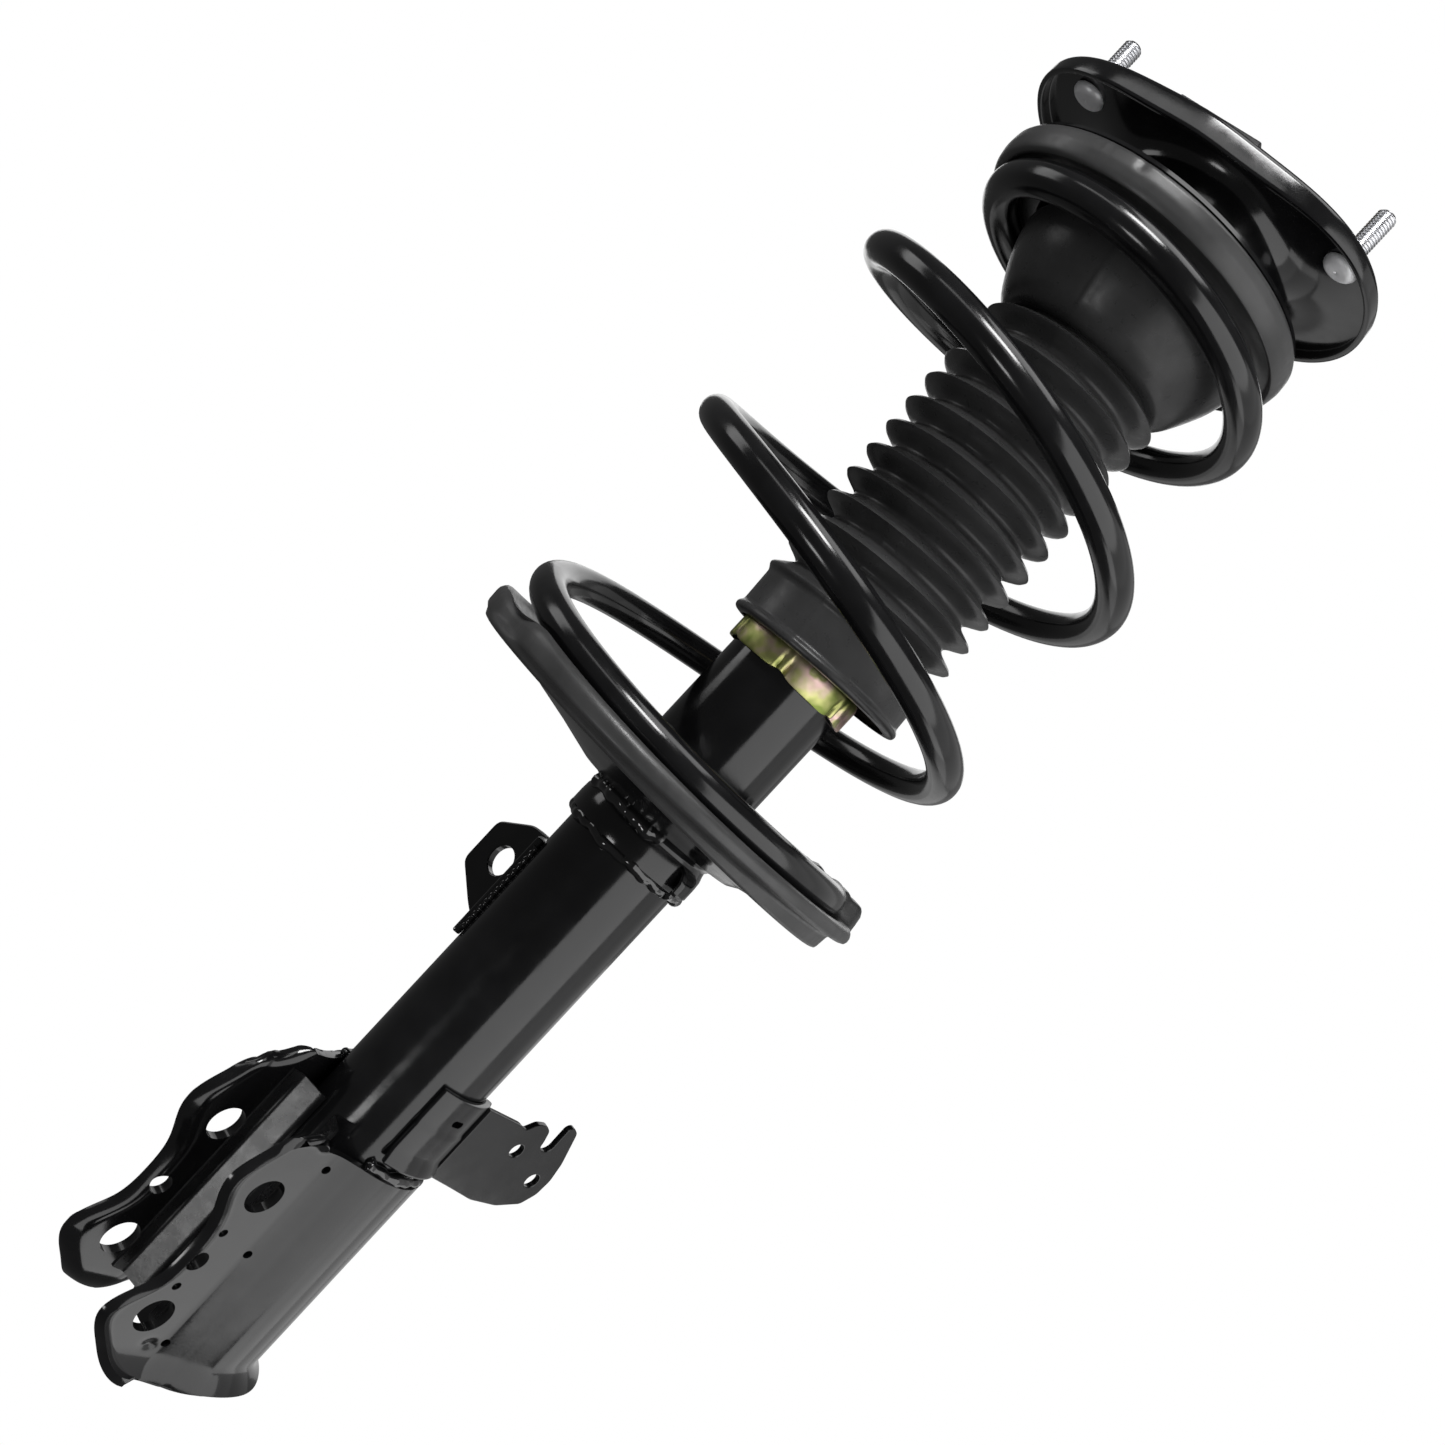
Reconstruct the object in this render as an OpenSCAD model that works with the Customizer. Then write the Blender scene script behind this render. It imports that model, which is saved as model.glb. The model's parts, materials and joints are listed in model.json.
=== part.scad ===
// MacPherson strut: oil damper, leaning coil spring, top mount on a bearing,
// and a channel bracket that bolts to the wheel knuckle.
// Z runs up the piston rod and z = 0 is the top mount's face against the body.
// X runs along the knuckle bolts, and the bracket's open side faces -Y.
// Depths below the top mount's face are positive numbers, drawn at minus z.

/* [Damper] */
// Outer diameter of the damper tube
tube_d = 51; // [49:0.5:52]
// Wall thickness of the damper tube
tube_wall = 2.5; // [2:0.1:3]
// Depth of the tube's upper end, fully extended
tube_top = 238; // [234:1:242]
// Depth of the tube's lower end
tube_end = 588; // [584:1:592]
// Diameter of the chromed piston rod
rod_d = 22; // [20:0.5:24]
// Bore of the inner pressure cylinder
cylinder_bore = 32; // [30:0.5:34]

/* [Coil spring] */
// Wire diameter
wire_d = 14; // [12:0.5:14]
// Mean radius of the full-size coils
coil_r = 80.5; // [78:0.5:83]
// Mean radius of the tighter upper end coil
end_coil_r = 63; // [60:0.5:64]
// Number of turns from end to end
coil_turns = 3.85; // [3.7:0.05:3.95]
// Rise of one free turn
coil_pitch = 88; // [84:1:88]
// Depth of the wire's centre at its lower end
coil_start = 297.4; // [296:0.1:298]
// Tilt of the free turns, down towards the leaning side
coil_tilt = 1.9; // [0:0.1:2.5]

/* [Sideways lean] */
// Direction of the side that the spring leans away from, in degrees from X
side_dir = 40; // [30:1:50]
// How far the lower spring seat is set off the rod's axis
lower_offset = 12; // [10:0.5:14]
// How far the mount plate and the upper end coil are set off the rod's axis
upper_offset = 4; // [3:0.5:5]
// How far the upper spring seat's flange is set off the rod's axis
flange_offset = 7; // [6:0.5:8]
// Tilt of the lower spring seat that follows the first coil
seat_tilt = 2.75; // [2:0.25:3.5]

/* [Top mount] */
// Mean radius of the mount plate on its round side
plate_r = 80.5; // [78:0.5:82]
// How far the plate's flattened side comes in
plate_flat = 22; // [18:0.5:22]
// Height of the plate's folded rim
rim_h = 7; // [6:0.5:9]
// Sheet thickness of the plate and its cup
plate_t = 2.5; // [2:0.1:3]
// Radius of the stud circle
stud_circle_r = 63.5; // [62:0.5:64]
// Thread diameter of the studs
stud_d = 8; // [6:1:8]
// Length of a stud above the plate
stud_h = 22; // [18:1:28]
// Outer radius of the cup that holds the rubber bush
cup_r = 42; // [41:0.5:43]
// Depth of the cup
cup_depth = 27; // [26:0.5:27]

/* [Knuckle bracket] */
// Sheet thickness of the bracket
bracket_t = 4; // [3.5:0.1:4.5]
// Clear gap between the bracket's two ears
ear_gap = 34; // [32:0.5:36]
// Depth of the bracket's upper edge
bracket_top = 487; // [484:1:490]
// Depth of the bracket's lower edge
bracket_end = 596; // [594:1:598]
// Distance of the knuckle bolts from the rod's axis
bolt_reach = 43; // [41:0.5:45]
// Diameter of the knuckle bolt holes
bolt_hole_d = 15; // [12:0.5:16]
// Spacing of the two knuckle bolts
bolt_spacing = 58; // [54:0.5:60]
// Depth of the upper knuckle bolt
upper_bolt = 511.5; // [510:0.5:514]

/* [Hidden] */
$fn = 96;

// Colours
black_gloss = [0.03, 0.03, 0.03];
rubber_black = [0.09, 0.09, 0.09];
bright_zinc = [0.75, 0.76, 0.78];
yellow_zinc = [0.75, 0.72, 0.42];
bearing_steel = [0.62, 0.64, 0.66];
bump_foam = [0.85, 0.78, 0.5];

// Radii and clearances worked out from the driving dimensions
tube_r = tube_d / 2;
tube_in_r = tube_r - tube_wall;
rod_r = rod_d / 2;
bore_r = cylinder_bore / 2;
wire_r = wire_d / 2;
running_gap = 0.03;
cut = 1;

// Rod end and its fixings in the mount
neck_r = 7;
rod_top = 20;
core_r = 15;
core_floor = 24.5;

// Thrust bearing between the mount's cup and the upper spring seat
race_in_r = 26;
race_out_r = 41;
ball_r = 3;
ball_ring_r = 33.5;
ball_count = 24;
ball_depth = cup_depth + 4.75;
groove_r = ball_r + 0.1;
seat_disc = cup_depth + 10;
seat_flange = cup_depth + 5;
sheet_t = 2;

// Upper spring seat and insulator
flange_r = 69.7;
seat_well_r = 47;
insulator_top = seat_flange + sheet_t;
insulator_end = insulator_top + 12;
end_coil_depth = insulator_top + 17;

// Dust boot
boot_wall = 2;
fold_count = 11;
fold_first = 87.5;
fold_pitch = 11.75;
fold_ridge_r = 40.8;
fold_root_r = 33;
boot_tilt = 1.7;
cuff_r = 38.9;
cuff_top = 216;
cuff_end = 238.5;

// Bump stop
bump_top = seat_disc + sheet_t + 1.5;
bump_end = 101;
bump_lobes = 4;

// Inside of the damper
guide_top = tube_top + 4;
guide_end = tube_top + 24;
spigot_end = guide_end + 4;
rebound_top = spigot_end + 0.4;
rebound_end = rebound_top + 13.6;
collar_end = rebound_end + 3;
rod_shoulder = collar_end + 4;
shim_end = rod_shoulder + 1.5;
piston_end = shim_end + 16;
piston_nut_end = piston_end + 6.5;
tip_r = 6;
cylinder_wall = 1.2;
valve_flange = tube_end - 12;

// Lower spring seat
seat_plane = 308;
dish_r = 89;
dish_sheet = 3;
collar_r = tube_r + 3.8;
collar_top = 326;
seat_collar_end = 336.5;
pad_in_r = 66;
pad_out_r = 94.5;
pad_off = 3;
pad_rise_max = 11;
pad_block_depth = 292;

// Bracket outline
wrap_r = tube_r + bracket_t;
wrap_end = bracket_end - 7;
ear_in = ear_gap / 2;
ear_out = ear_in + bracket_t;
ear_reach = 53;
ear_root = 15;
top_corner = 6;
end_corner = 18;
far_top = bracket_top - 15;
foot_flare = 6.5;
foot_h = 10;

// ---------------------------------------------------------------- helpers

// A ring or sleeve between two depths
module sleeve(outer_r, inner_r, top, end) {
    translate([0, 0, -end]) difference() {
        cylinder(r = outer_r, h = end - top);
        translate([0, 0, -cut]) cylinder(r = inner_r, h = end - top + 2 * cut);
    }
}

// A plain round bar between two depths
module bar(r, top, end) {
    translate([0, 0, -end]) cylinder(r = r, h = end - top);
}

// A round groove cut round the axis
module ring_groove(ring_r, r, depth) {
    translate([0, 0, -depth]) rotate_extrude() translate([ring_r, 0]) circle(r = r, $fn = 48);
}

// Turns the children so that their X points to the leaning side
module side_frame(offset = 0) {
    rotate([0, 0, side_dir]) translate([-offset, 0, 0]) children();
}

function clamp01(v) = min(1, max(0, v));
function ease(v) = let (s = clamp01(v)) s * s * (3 - 2 * s);

// Area under a ramp that starts at a, reaches one at b and stays there
function ramp_area(t, a, b) =
    t <= a ? 0 : t >= b ? t - (a + b) / 2 : (t - a) * (t - a) / (2 * (b - a));

// Faces of a tube swept through rings of equal point counts, closed at both ends
function sweep_faces(rings, sides) = concat(
    [for (i = [0:rings - 2], j = [0:sides - 1])
        let (k = (j + 1) % sides) [i * sides + j, i * sides + k, (i + 1) * sides + k]],
    [for (i = [0:rings - 2], j = [0:sides - 1])
        let (k = (j + 1) % sides) [i * sides + j, (i + 1) * sides + k, (i + 1) * sides + j]],
    [[for (j = [sides - 1:-1:0]) j]],
    [[for (j = [0:sides - 1]) (rings - 1) * sides + j]]);

// ---------------------------------------------------------------- top mount

// Edge of the plate: a little wider towards wide_dir, with one side flattened
wide_dir = 205;
flat_dir = 288;
flat_half = 50;
function plate_edge(a, inset) =
    let (d = abs(((a - flat_dir + 540) % 360) - 180) / flat_half)
    (plate_r + 3 * cos(a - wide_dir) - plate_flat * exp(-d * d * d) - inset) * [cos(a), sin(a)];
module plate_shape(inset) {
    polygon([for (a = [0:5:355]) plate_edge(a, inset)]);
}

stud_angles = [0, 112, 224];
head_r = 7;
head_h = 4;
shoulder_r = stud_d / 2 + 0.6;
stud_neck = 0.5;

// The plate's own middle, off the rod's axis
module at_plate() {
    rotate([0, 0, side_dir]) translate([-upper_offset, 0, 0]) rotate([0, 0, -side_dir]) children();
}

module at_studs() {
    at_plate() for (a = stud_angles)
        rotate([0, 0, a]) translate([stud_circle_r, 0, 0]) children();
}

// Small raised pad on the flattened side that locates the plate in the body's tower
module locating_lug() {
    at_plate() rotate([0, 0, flat_dir]) translate([42, -18, 0]) cube([11, 36, 2.5]);
}

// Large fillet from the cup up to the underside of the plate
module cup_fillet() {
    r = 13;
    arc = [for (a = [0:10:90]) [cup_r + r - r * cos(a), -plate_t - r + r * sin(a)]];
    intersection() {
        rotate_extrude() polygon(concat([[cup_r - plate_t, -plate_t - r]], arc,
            [[cup_r - plate_t, -plate_t]]));
        at_plate() translate([0, 0, -20]) linear_extrude(20) plate_shape(plate_t / 2);
    }
}

module mount_plate() {
    color(black_gloss) difference() {
        union() {
            at_plate() translate([0, 0, -plate_t]) linear_extrude(plate_t) plate_shape(0);
            at_plate() translate([0, 0, -rim_h]) difference() {
                linear_extrude(rim_h - plate_t) plate_shape(0);
                translate([0, 0, -cut]) linear_extrude(rim_h) plate_shape(plate_t);
            }
            bar(cup_r, plate_t, cup_depth);
            cup_fillet();
            locating_lug();
        }
        bar(cup_r - plate_t, -cut - 3, core_floor);
        bar(core_r + 5, 0, cup_depth + cut);
        at_studs() translate([0, 0, -rim_h]) cylinder(r = shoulder_r, h = rim_h + cut);
    }
}

module mount_studs() {
    chamfer = 0.8;
    color(bright_zinc) at_studs() {
        translate([0, 0, -plate_t - head_h]) cylinder(r = head_r, h = head_h);
        translate([0, 0, -plate_t]) cylinder(r = shoulder_r, h = plate_t);
        cylinder(r = stud_d / 2 - 0.5, h = stud_neck);
        translate([0, 0, stud_neck]) cylinder(r = stud_d / 2, h = stud_h - chamfer - stud_neck);
        translate([0, 0, stud_h - chamfer])
            cylinder(r1 = stud_d / 2, r2 = stud_d / 2 - chamfer, h = chamfer);
    }
}

module mount_rubber() {
    relief_r = 29;
    color(rubber_black) difference() {
        sleeve(cup_r - plate_t, core_r, 3, core_floor);
        ring_groove(relief_r, 5, 3);
    }
}

module mount_core() {
    color(bright_zinc) {
        sleeve(core_r, neck_r, -1, core_floor);
        sleeve(core_r + 3, neck_r, core_floor, cup_depth);
    }
}

module rod_washer() {
    color(bright_zinc) sleeve(20, neck_r, -4, -1);
}

module rod_nut() {
    nut_flats = 22;
    color(yellow_zinc) difference() {
        translate([0, 0, 4]) cylinder(r = nut_flats / 2 / cos(30), h = 11, $fn = 6);
        translate([0, 0, 4 - cut]) cylinder(r = neck_r, h = 11 + 2 * cut);
    }
}

// ---------------------------------------------------------------- thrust bearing

module bearing_upper_race() {
    color(bearing_steel) difference() {
        sleeve(race_out_r, race_in_r, cup_depth, cup_depth + 3.2);
        ring_groove(ball_ring_r, groove_r, ball_depth);
    }
}

module bearing_lower_race() {
    color(bearing_steel) difference() {
        sleeve(race_out_r, race_in_r, seat_disc - 3.7, seat_disc);
        ring_groove(ball_ring_r, groove_r, ball_depth);
    }
}

module at_balls() {
    for (i = [0:ball_count - 1])
        rotate([0, 0, i * 360 / ball_count]) translate([ball_ring_r, 0, -ball_depth]) children();
}

module ball_cage() {
    half = 0.6;
    color(bump_foam) difference() {
        sleeve(ball_ring_r + 4, ball_ring_r - 4, ball_depth - half, ball_depth + half);
        at_balls() translate([0, 0, -cut]) cylinder(r = groove_r, h = 2 * cut, $fn = 32);
    }
}

module bearing_balls() {
    color(bright_zinc) at_balls() sphere(r = ball_r, $fn = 32);
}

// ---------------------------------------------------------------- rod and piston

module piston_rod() {
    color(bright_zinc) {
        bar(neck_r, -rod_top, cup_depth);
        bar(rod_r, cup_depth, rod_shoulder);
        bar(tip_r, rod_shoulder, piston_nut_end + 2);
    }
}

module rebound_stop() {
    color(rubber_black) sleeve(bore_r - 0.8, rod_r, rebound_top, rebound_end);
}

module rebound_collar() {
    color(bearing_steel) sleeve(bore_r - 1, rod_r, rebound_end, collar_end);
}

module piston_shims() {
    color(bearing_steel) sleeve(bore_r - 4, tip_r, rod_shoulder, shim_end);
}

module piston() {
    port_r = 1.8;
    color(bearing_steel) difference() {
        sleeve(bore_r - 0.4, tip_r, shim_end, piston_end);
        difference() {
            bar(bore_r, shim_end + 4, piston_end - 4);
            bar(bore_r - 1.3, shim_end + 3, piston_end - 3);
        }
        for (a = [0:60:300]) rotate([0, 0, a]) translate([10, 0, -piston_end - cut])
            cylinder(r = port_r, h = 16 + 2 * cut, $fn = 24);
    }
}

module piston_band() {
    color(rubber_black) sleeve(bore_r - running_gap, bore_r - 1.3, shim_end + 4, piston_end - 4);
}

module piston_nut() {
    color(bright_zinc) difference() {
        translate([0, 0, -piston_nut_end])
            cylinder(r = 10, h = piston_nut_end - piston_end, $fn = 6);
        bar(tip_r, piston_end - cut, piston_nut_end + cut);
    }
}

// ---------------------------------------------------------------- upper spring seat

module upper_spring_seat() {
    color(black_gloss) {
        sleeve(seat_well_r, 16, seat_disc, seat_disc + sheet_t);
        sleeve(seat_well_r, seat_well_r - sheet_t, seat_flange, seat_disc);
        difference() {
            side_frame(flange_offset) bar(flange_r, seat_flange, insulator_top);
            bar(seat_well_r, seat_flange - cut, insulator_top + cut);
        }
    }
}

// The end coil's groove runs only where the last turn lies against the rubber
module upper_insulator() {
    inner_r = 52.5;
    groove_from = 52;
    groove_sweep = 173;
    color(rubber_black) difference() {
        side_frame(flange_offset) bar(flange_r + 0.8, insulator_top, insulator_end);
        bar(inner_r, insulator_top - cut, insulator_end + cut);
        side_frame(upper_offset) {
            bar(inner_r + 0.5, insulator_top - cut, insulator_end + cut);
            translate([0, 0, -end_coil_depth]) rotate([0, 0, groove_from])
                rotate_extrude(angle = groove_sweep)
                    translate([end_coil_r, 0]) circle(r = wire_r + 0.4, $fn = 48);
        }
    }
}

// Outer line of the boot, from its lip under the seat down to the cuff
boot_top = insulator_top + 2;
bell_line = [[51, boot_top], [51, 46], [52.5, 50], [52, 56], [48.5, 66], [41, 77], [36.2, 82.5]];
function fold_line(i) = let (z = fold_first + i * fold_pitch)
    [[fold_root_r, z - 0.5 * fold_pitch], [fold_ridge_r - 2, z - 0.2 * fold_pitch],
        [fold_ridge_r, z], [fold_ridge_r - 2, z + 0.2 * fold_pitch]];
cuff_line = [[fold_root_r, cuff_top - 5], [cuff_r, cuff_top], [cuff_r, cuff_end - 4],
    [cuff_r + 1.3, cuff_end - 2.5], [cuff_r + 1.3, cuff_end - 1], [cuff_r, cuff_end]];
boot_line = concat(bell_line, [for (i = [0:fold_count - 1]) each fold_line(i)], cuff_line);

module dust_boot() {
    last = len(boot_line) - 1;
    shell = concat([for (p = boot_line) [p[0], -p[1]]],
        [for (i = [last:-1:0]) [boot_line[i][0] - boot_wall, -boot_line[i][1]]]);
    color(rubber_black) side_frame() translate([0, 0, -insulator_top])
        rotate([0, -boot_tilt, 0]) translate([0, 0, insulator_top]) rotate_extrude() polygon(shell);
}

module bump_stop_cup() {
    wall = 1.5;
    lip = 9;
    color(bright_zinc) {
        sleeve(28, 13, seat_disc + sheet_t, bump_top);
        sleeve(28, 28 - wall, bump_top, bump_top + lip);
    }
}

module bump_stop() {
    steps = 6 * bump_lobes;
    lobe = (bump_end - bump_top) / bump_lobes;
    outer = [for (i = [0:steps])
        let (d = i / steps * bump_lobes, taper = 2.5 * i / steps)
        [24 - taper - 2.2 * cos(360 * d), -bump_top - d * lobe]];
    color(bump_foam) rotate_extrude()
        polygon(concat([[rod_r + 0.8, -bump_top]], outer, [[rod_r + 0.8, -bump_end]]));
}

// ---------------------------------------------------------------- damper tube

module strut_tube() {
    color(black_gloss) sleeve(tube_r, tube_in_r, tube_top, tube_end);
}

module base_cap() {
    color(black_gloss) bar(tube_in_r, tube_end - 8, tube_end);
}

module base_valve() {
    color(bearing_steel) difference() {
        union() {
            bar(tube_in_r - 1, valve_flange, tube_end - 8);
            bar(bore_r, valve_flange - 10, valve_flange);
        }
        for (a = [0:60:300]) rotate([0, 0, a]) translate([9, 0, -tube_end])
            cylinder(r = 1.5, h = 40, $fn = 24);
    }
}

module inner_cylinder() {
    color(bearing_steel) sleeve(bore_r + cylinder_wall, bore_r, guide_end, valve_flange);
}

module rod_guide() {
    color(bearing_steel) {
        sleeve(tube_in_r, rod_r + 1.5, guide_top, guide_end);
        sleeve(bore_r, rod_r + 1.5, guide_end, spigot_end);
    }
}

module guide_bush() {
    color(yellow_zinc) sleeve(rod_r + 1.5, rod_r + running_gap, guide_top + 2, guide_end);
}

module rod_seal() {
    color(rubber_black) sleeve(tube_in_r, rod_r + running_gap, tube_top, guide_top);
}

module bump_cap() {
    cap_r = 28.5;
    cap_end = 249;
    crimps = 12;
    color(yellow_zinc) difference() {
        bar(cap_r, tube_top - 2, cap_end);
        bar(tube_r, tube_top, cap_end + cut);
        bar(rod_r + 1.5, tube_top - 2 - cut, tube_top + cut);
        for (i = [0:crimps - 1]) rotate([0, 0, (i + 0.5) * 360 / crimps])
            translate([cap_r + 1.4, 0, -cap_end - cut]) cylinder(r = 3, h = 16, $fn = 32);
    }
}

// ---------------------------------------------------------------- lower spring seat

module lower_spring_seat() {
    top_line = [[20, -10], [37, -10], [48, -6.4], [dish_r, 0]];
    dish = concat([for (i = [len(top_line) - 1:-1:0]) top_line[i]],
        [for (p = top_line) [p[0], p[1] - dish_sheet]]);
    color(black_gloss) difference() {
        union() {
            side_frame(lower_offset) translate([0, 0, -seat_plane]) rotate([0, seat_tilt, 0])
                rotate_extrude() polygon(dish);
            bar(collar_r, collar_top, seat_collar_end);
        }
        bar(tube_r, seat_plane - 30, seat_collar_end + cut);
        side_frame(lower_offset) for (a = [60, 180, 300]) rotate([0, 0, a])
            translate([57, 0, -seat_collar_end]) cylinder(r = 4, h = 40, $fn = 32);
    }
}

// Small folded lug on the collar
module seat_lug() {
    lug_w = 9;
    lug_h = 9;
    lug_out = 4.5;
    wall = 2;
    color(black_gloss) difference() {
        translate([collar_r - 2, -lug_w / 2, -seat_collar_end + 1])
            cube([lug_out + 2, lug_w, lug_h]);
        translate([collar_r - 2 - cut, wall - lug_w / 2, -seat_collar_end + 1 + wall])
            cube([lug_out + 2 + cut - wall / 2, lug_w, lug_h]);
        bar(collar_r, collar_top, seat_collar_end + cut);
    }
}

// Fillet of weld under the seat's collar, between its lower edge and the tube
module seat_weld() {
    leg = 3.6;
    color(black_gloss) rotate_extrude() polygon([[tube_r, -seat_collar_end],
        [tube_r + leg, -seat_collar_end], [tube_r, -seat_collar_end - leg]]);
}

// Turn number t counts from the wire's lower end, and goes clockwise seen from above
function coil_rise(t) = coil_pitch * (ramp_area(t, 0.15, 0.45) - ramp_area(t, 2.6, 3.6));
coil_height = coil_rise(4);
function coil_lean(t) =
    lower_offset + (upper_offset - lower_offset) * coil_rise(t) / coil_height;
function coil_radius(t) = coil_r - (coil_r - end_coil_r) * ease((t - 2.3) / 1.3);
function coil_dip(t) = coil_radius(t) * cos(360 * t) * tan(coil_tilt)
    * ease((t - 0.2) / 0.8) * (1 - ease((t - 2.9) / 0.5));

// Rubber pad between the seat and the first coil, with a block behind the wire's end
function pad_ring(t) = let (
    a = -360 * t,
    block = t < -0.005,
    out_r = pad_out_r + pad_off * cos(a),
    foot = -seat_plane - dish_r * cos(a) * tan(seat_tilt) + 0.3,
    bed = -coil_start - wire_r - 0.3
        + min(coil_rise(t), pad_rise_max) * (1 - ease((t - 0.62) / 0.3)),
    lip = block ? -pad_block_depth : bed + 3.9,
    floor_z = block ? -pad_block_depth : bed,
    inner_lip = block ? -pad_block_depth : bed + 2,
    line = [[pad_in_r, foot], [out_r - 5, foot], [out_r, foot + 2], [out_r, lip - 2],
        [out_r - 2, lip], [89.3, lip], [87.5, floor_z], [73.5, floor_z], [70, inner_lip],
        [pad_in_r, inner_lip]])
    [for (p = line) [p[0] * cos(a), p[0] * sin(a), p[1]]];

module lower_insulator() {
    stations = concat([-0.045, -0.008], [for (i = [0:48]) -0.003 + 0.948 * i / 48]);
    sides = 10;
    color(rubber_black) side_frame(lower_offset) polyhedron(
        points = [for (t = stations) each pad_ring(t)],
        faces = sweep_faces(len(stations), sides), convexity = 6);
}

module coil_spring() {
    sides = 12;
    rings = 150;
    points = [for (i = [0:rings - 1])
        let (t = coil_turns * i / (rings - 1), a = -360 * t, r = coil_radius(t))
        for (j = [0:sides - 1])
            let (b = 360 * j / sides)
            [(r + wire_r * cos(b)) * cos(a) - coil_lean(t), (r + wire_r * cos(b)) * sin(a),
                coil_rise(t) - coil_dip(t) - coil_start + wire_r * sin(b)]];
    color(black_gloss) side_frame()
        polyhedron(points = points, faces = sweep_faces(rings, sides), convexity = 8);
}

// ---------------------------------------------------------------- knuckle bracket

// Reach of an ear at a given depth: two lobes round the bolts, and rounded corners
function lobe(z, mid, size, width) = size * exp(-pow((z - mid) / width, 2));
function corner(d, r) = d >= r ? 0 : r - sqrt(max(0, r * r - (r - d) * (r - d)));
function ear_edge(z) = ear_reach
    + lobe(z, upper_bolt - 3.5, 10, 15) + lobe(z, upper_bolt + bolt_spacing + 1.5, 12, 12)
    - corner(z - bracket_top, top_corner) - corner(bracket_end - z, end_corner);

// Outline of an ear, drawn with its reach along X; its upper edge can rise at both ends
module ear_shape(root_rise, tip_rise) {
    steps = 40;
    h = bracket_end - bracket_top;
    polygon(concat([[ear_root, -bracket_top + root_rise], [ear_reach - 11, -bracket_top + tip_rise]],
        [for (i = [0:steps]) let (z = bracket_top + h * i / steps) [ear_edge(z), -z]],
        [[ear_root + 8, -bracket_end], [ear_root, -wrap_end + 1]]));
}

module ear(root_rise, tip_rise) {
    translate([ear_in, 0, 0]) rotate([90, 0, -90]) translate([0, 0, -bracket_t])
        linear_extrude(bracket_t) ear_shape(root_rise, tip_rise);
}

// Everything above the wrap's upper edge, which steps up behind the tube to the far side
module wrap_top_cut() {
    reach = wrap_r + cut;
    translate([0, reach, 0]) rotate([90, 0, 0]) linear_extrude(2 * reach)
        polygon([[-8, -far_top + cut], [-8, -far_top], [8, -bracket_top], [reach, -bracket_top],
            [reach, -far_top + cut]]);
}

// Gauge and pilot holes in the ears: distance from the axis, depth and diameter
pilot_holes = [[46, 543.6, 8.5], [28, 494, 3.5], [46, 530, 3.5], [28, 536, 3.5],
    [45, 555.5, 3.5], [28, 580, 3.5]];

// Skirt at the lower edge of the wrap, turned outwards
module foot() {
    inner = -bracket_t - 1;
    skirt = [[-1, -wrap_end + foot_h], [foot_flare, -wrap_end], [inner, -wrap_end],
        [inner, -wrap_end + foot_h]];
    rotate([0, 0, -41]) rotate_extrude(angle = 262)
        polygon([for (p = skirt) [wrap_r + p[0], p[1]]]);
}

module knuckle_bracket() {
    color(black_gloss) difference() {
        union() {
            difference() {
                bar(wrap_r, far_top, wrap_end);
                translate([-ear_in, -wrap_r - cut, -wrap_end - cut])
                    cube([ear_gap, wrap_r + cut, wrap_end - far_top + 2 * cut]);
                wrap_top_cut();
            }
            ear(0, 4);
            mirror([1, 0, 0]) ear(bracket_top - far_top, 6);
            foot();
        }
        bar(tube_r, far_top - cut, bracket_end + cut);
        for (z = [upper_bolt, upper_bolt + bolt_spacing])
            translate([-ear_out - cut, -bolt_reach, -z])
                rotate([0, 90, 0]) cylinder(d = bolt_hole_d, h = 2 * (ear_out + cut));
        for (p = pilot_holes) translate([ear_in - cut, -p[0], -p[1]])
            rotate([0, 90, 0]) cylinder(d = p[2], h = bracket_t + 2 * cut, $fn = 32);
    }
}

// Two fillets of weld on the bracket's upper edge, one on each side of its step
module bracket_weld() {
    leg = 3.4;
    runs = [[-36, 96, bracket_top], [116, 100, far_top]];
    color(black_gloss) for (run = runs) rotate([0, 0, run[0]]) rotate_extrude(angle = run[1])
        polygon([[tube_r, -run[2]], [tube_r + leg, -run[2]], [tube_r, -run[2] + leg]]);
}

// ---------------------------------------------------------------- brackets on the tube

// Ear for the sway bar's link, with a strip that is welded round the tube
module link_tab() {
    tab_t = 4;
    strip_t = 3.5;
    strip_from = 180;
    strip_sweep = 45;
    tab_top = 356;
    tab_end = 406;
    hole_at = [-43.2, -377.7];
    hole_d = 13;
    outline = [[-25, -tab_top], [-42.5, -tab_top - 2], [-59, -tab_top - 12], [-59, -389],
        [-41, -399], [-25, -tab_end]];
    color(black_gloss) difference() {
        union() {
            translate([0, tab_t / 2, 0]) rotate([90, 0, 0]) linear_extrude(tab_t) polygon(outline);
            rotate([0, 0, strip_from]) rotate_extrude(angle = strip_sweep)
                translate([tube_r, -tab_end]) square([strip_t, tab_end - tab_top]);
        }
        bar(tube_r, tab_top - cut, tab_end + cut);
        translate([hole_at[0], tab_t, hole_at[1]])
            rotate([90, 0, 0]) cylinder(d = hole_d, h = 2 * tab_t);
    }
}

// Saddle on the tube and a flat arm that carries the brake hose and the sensor lead
saddle_t = 3.5;
arm_t = 3;
arm_in = 22.5;
saddle_top = 445;
saddle_end = 481;
hook_slot_r = 3.2;

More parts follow.
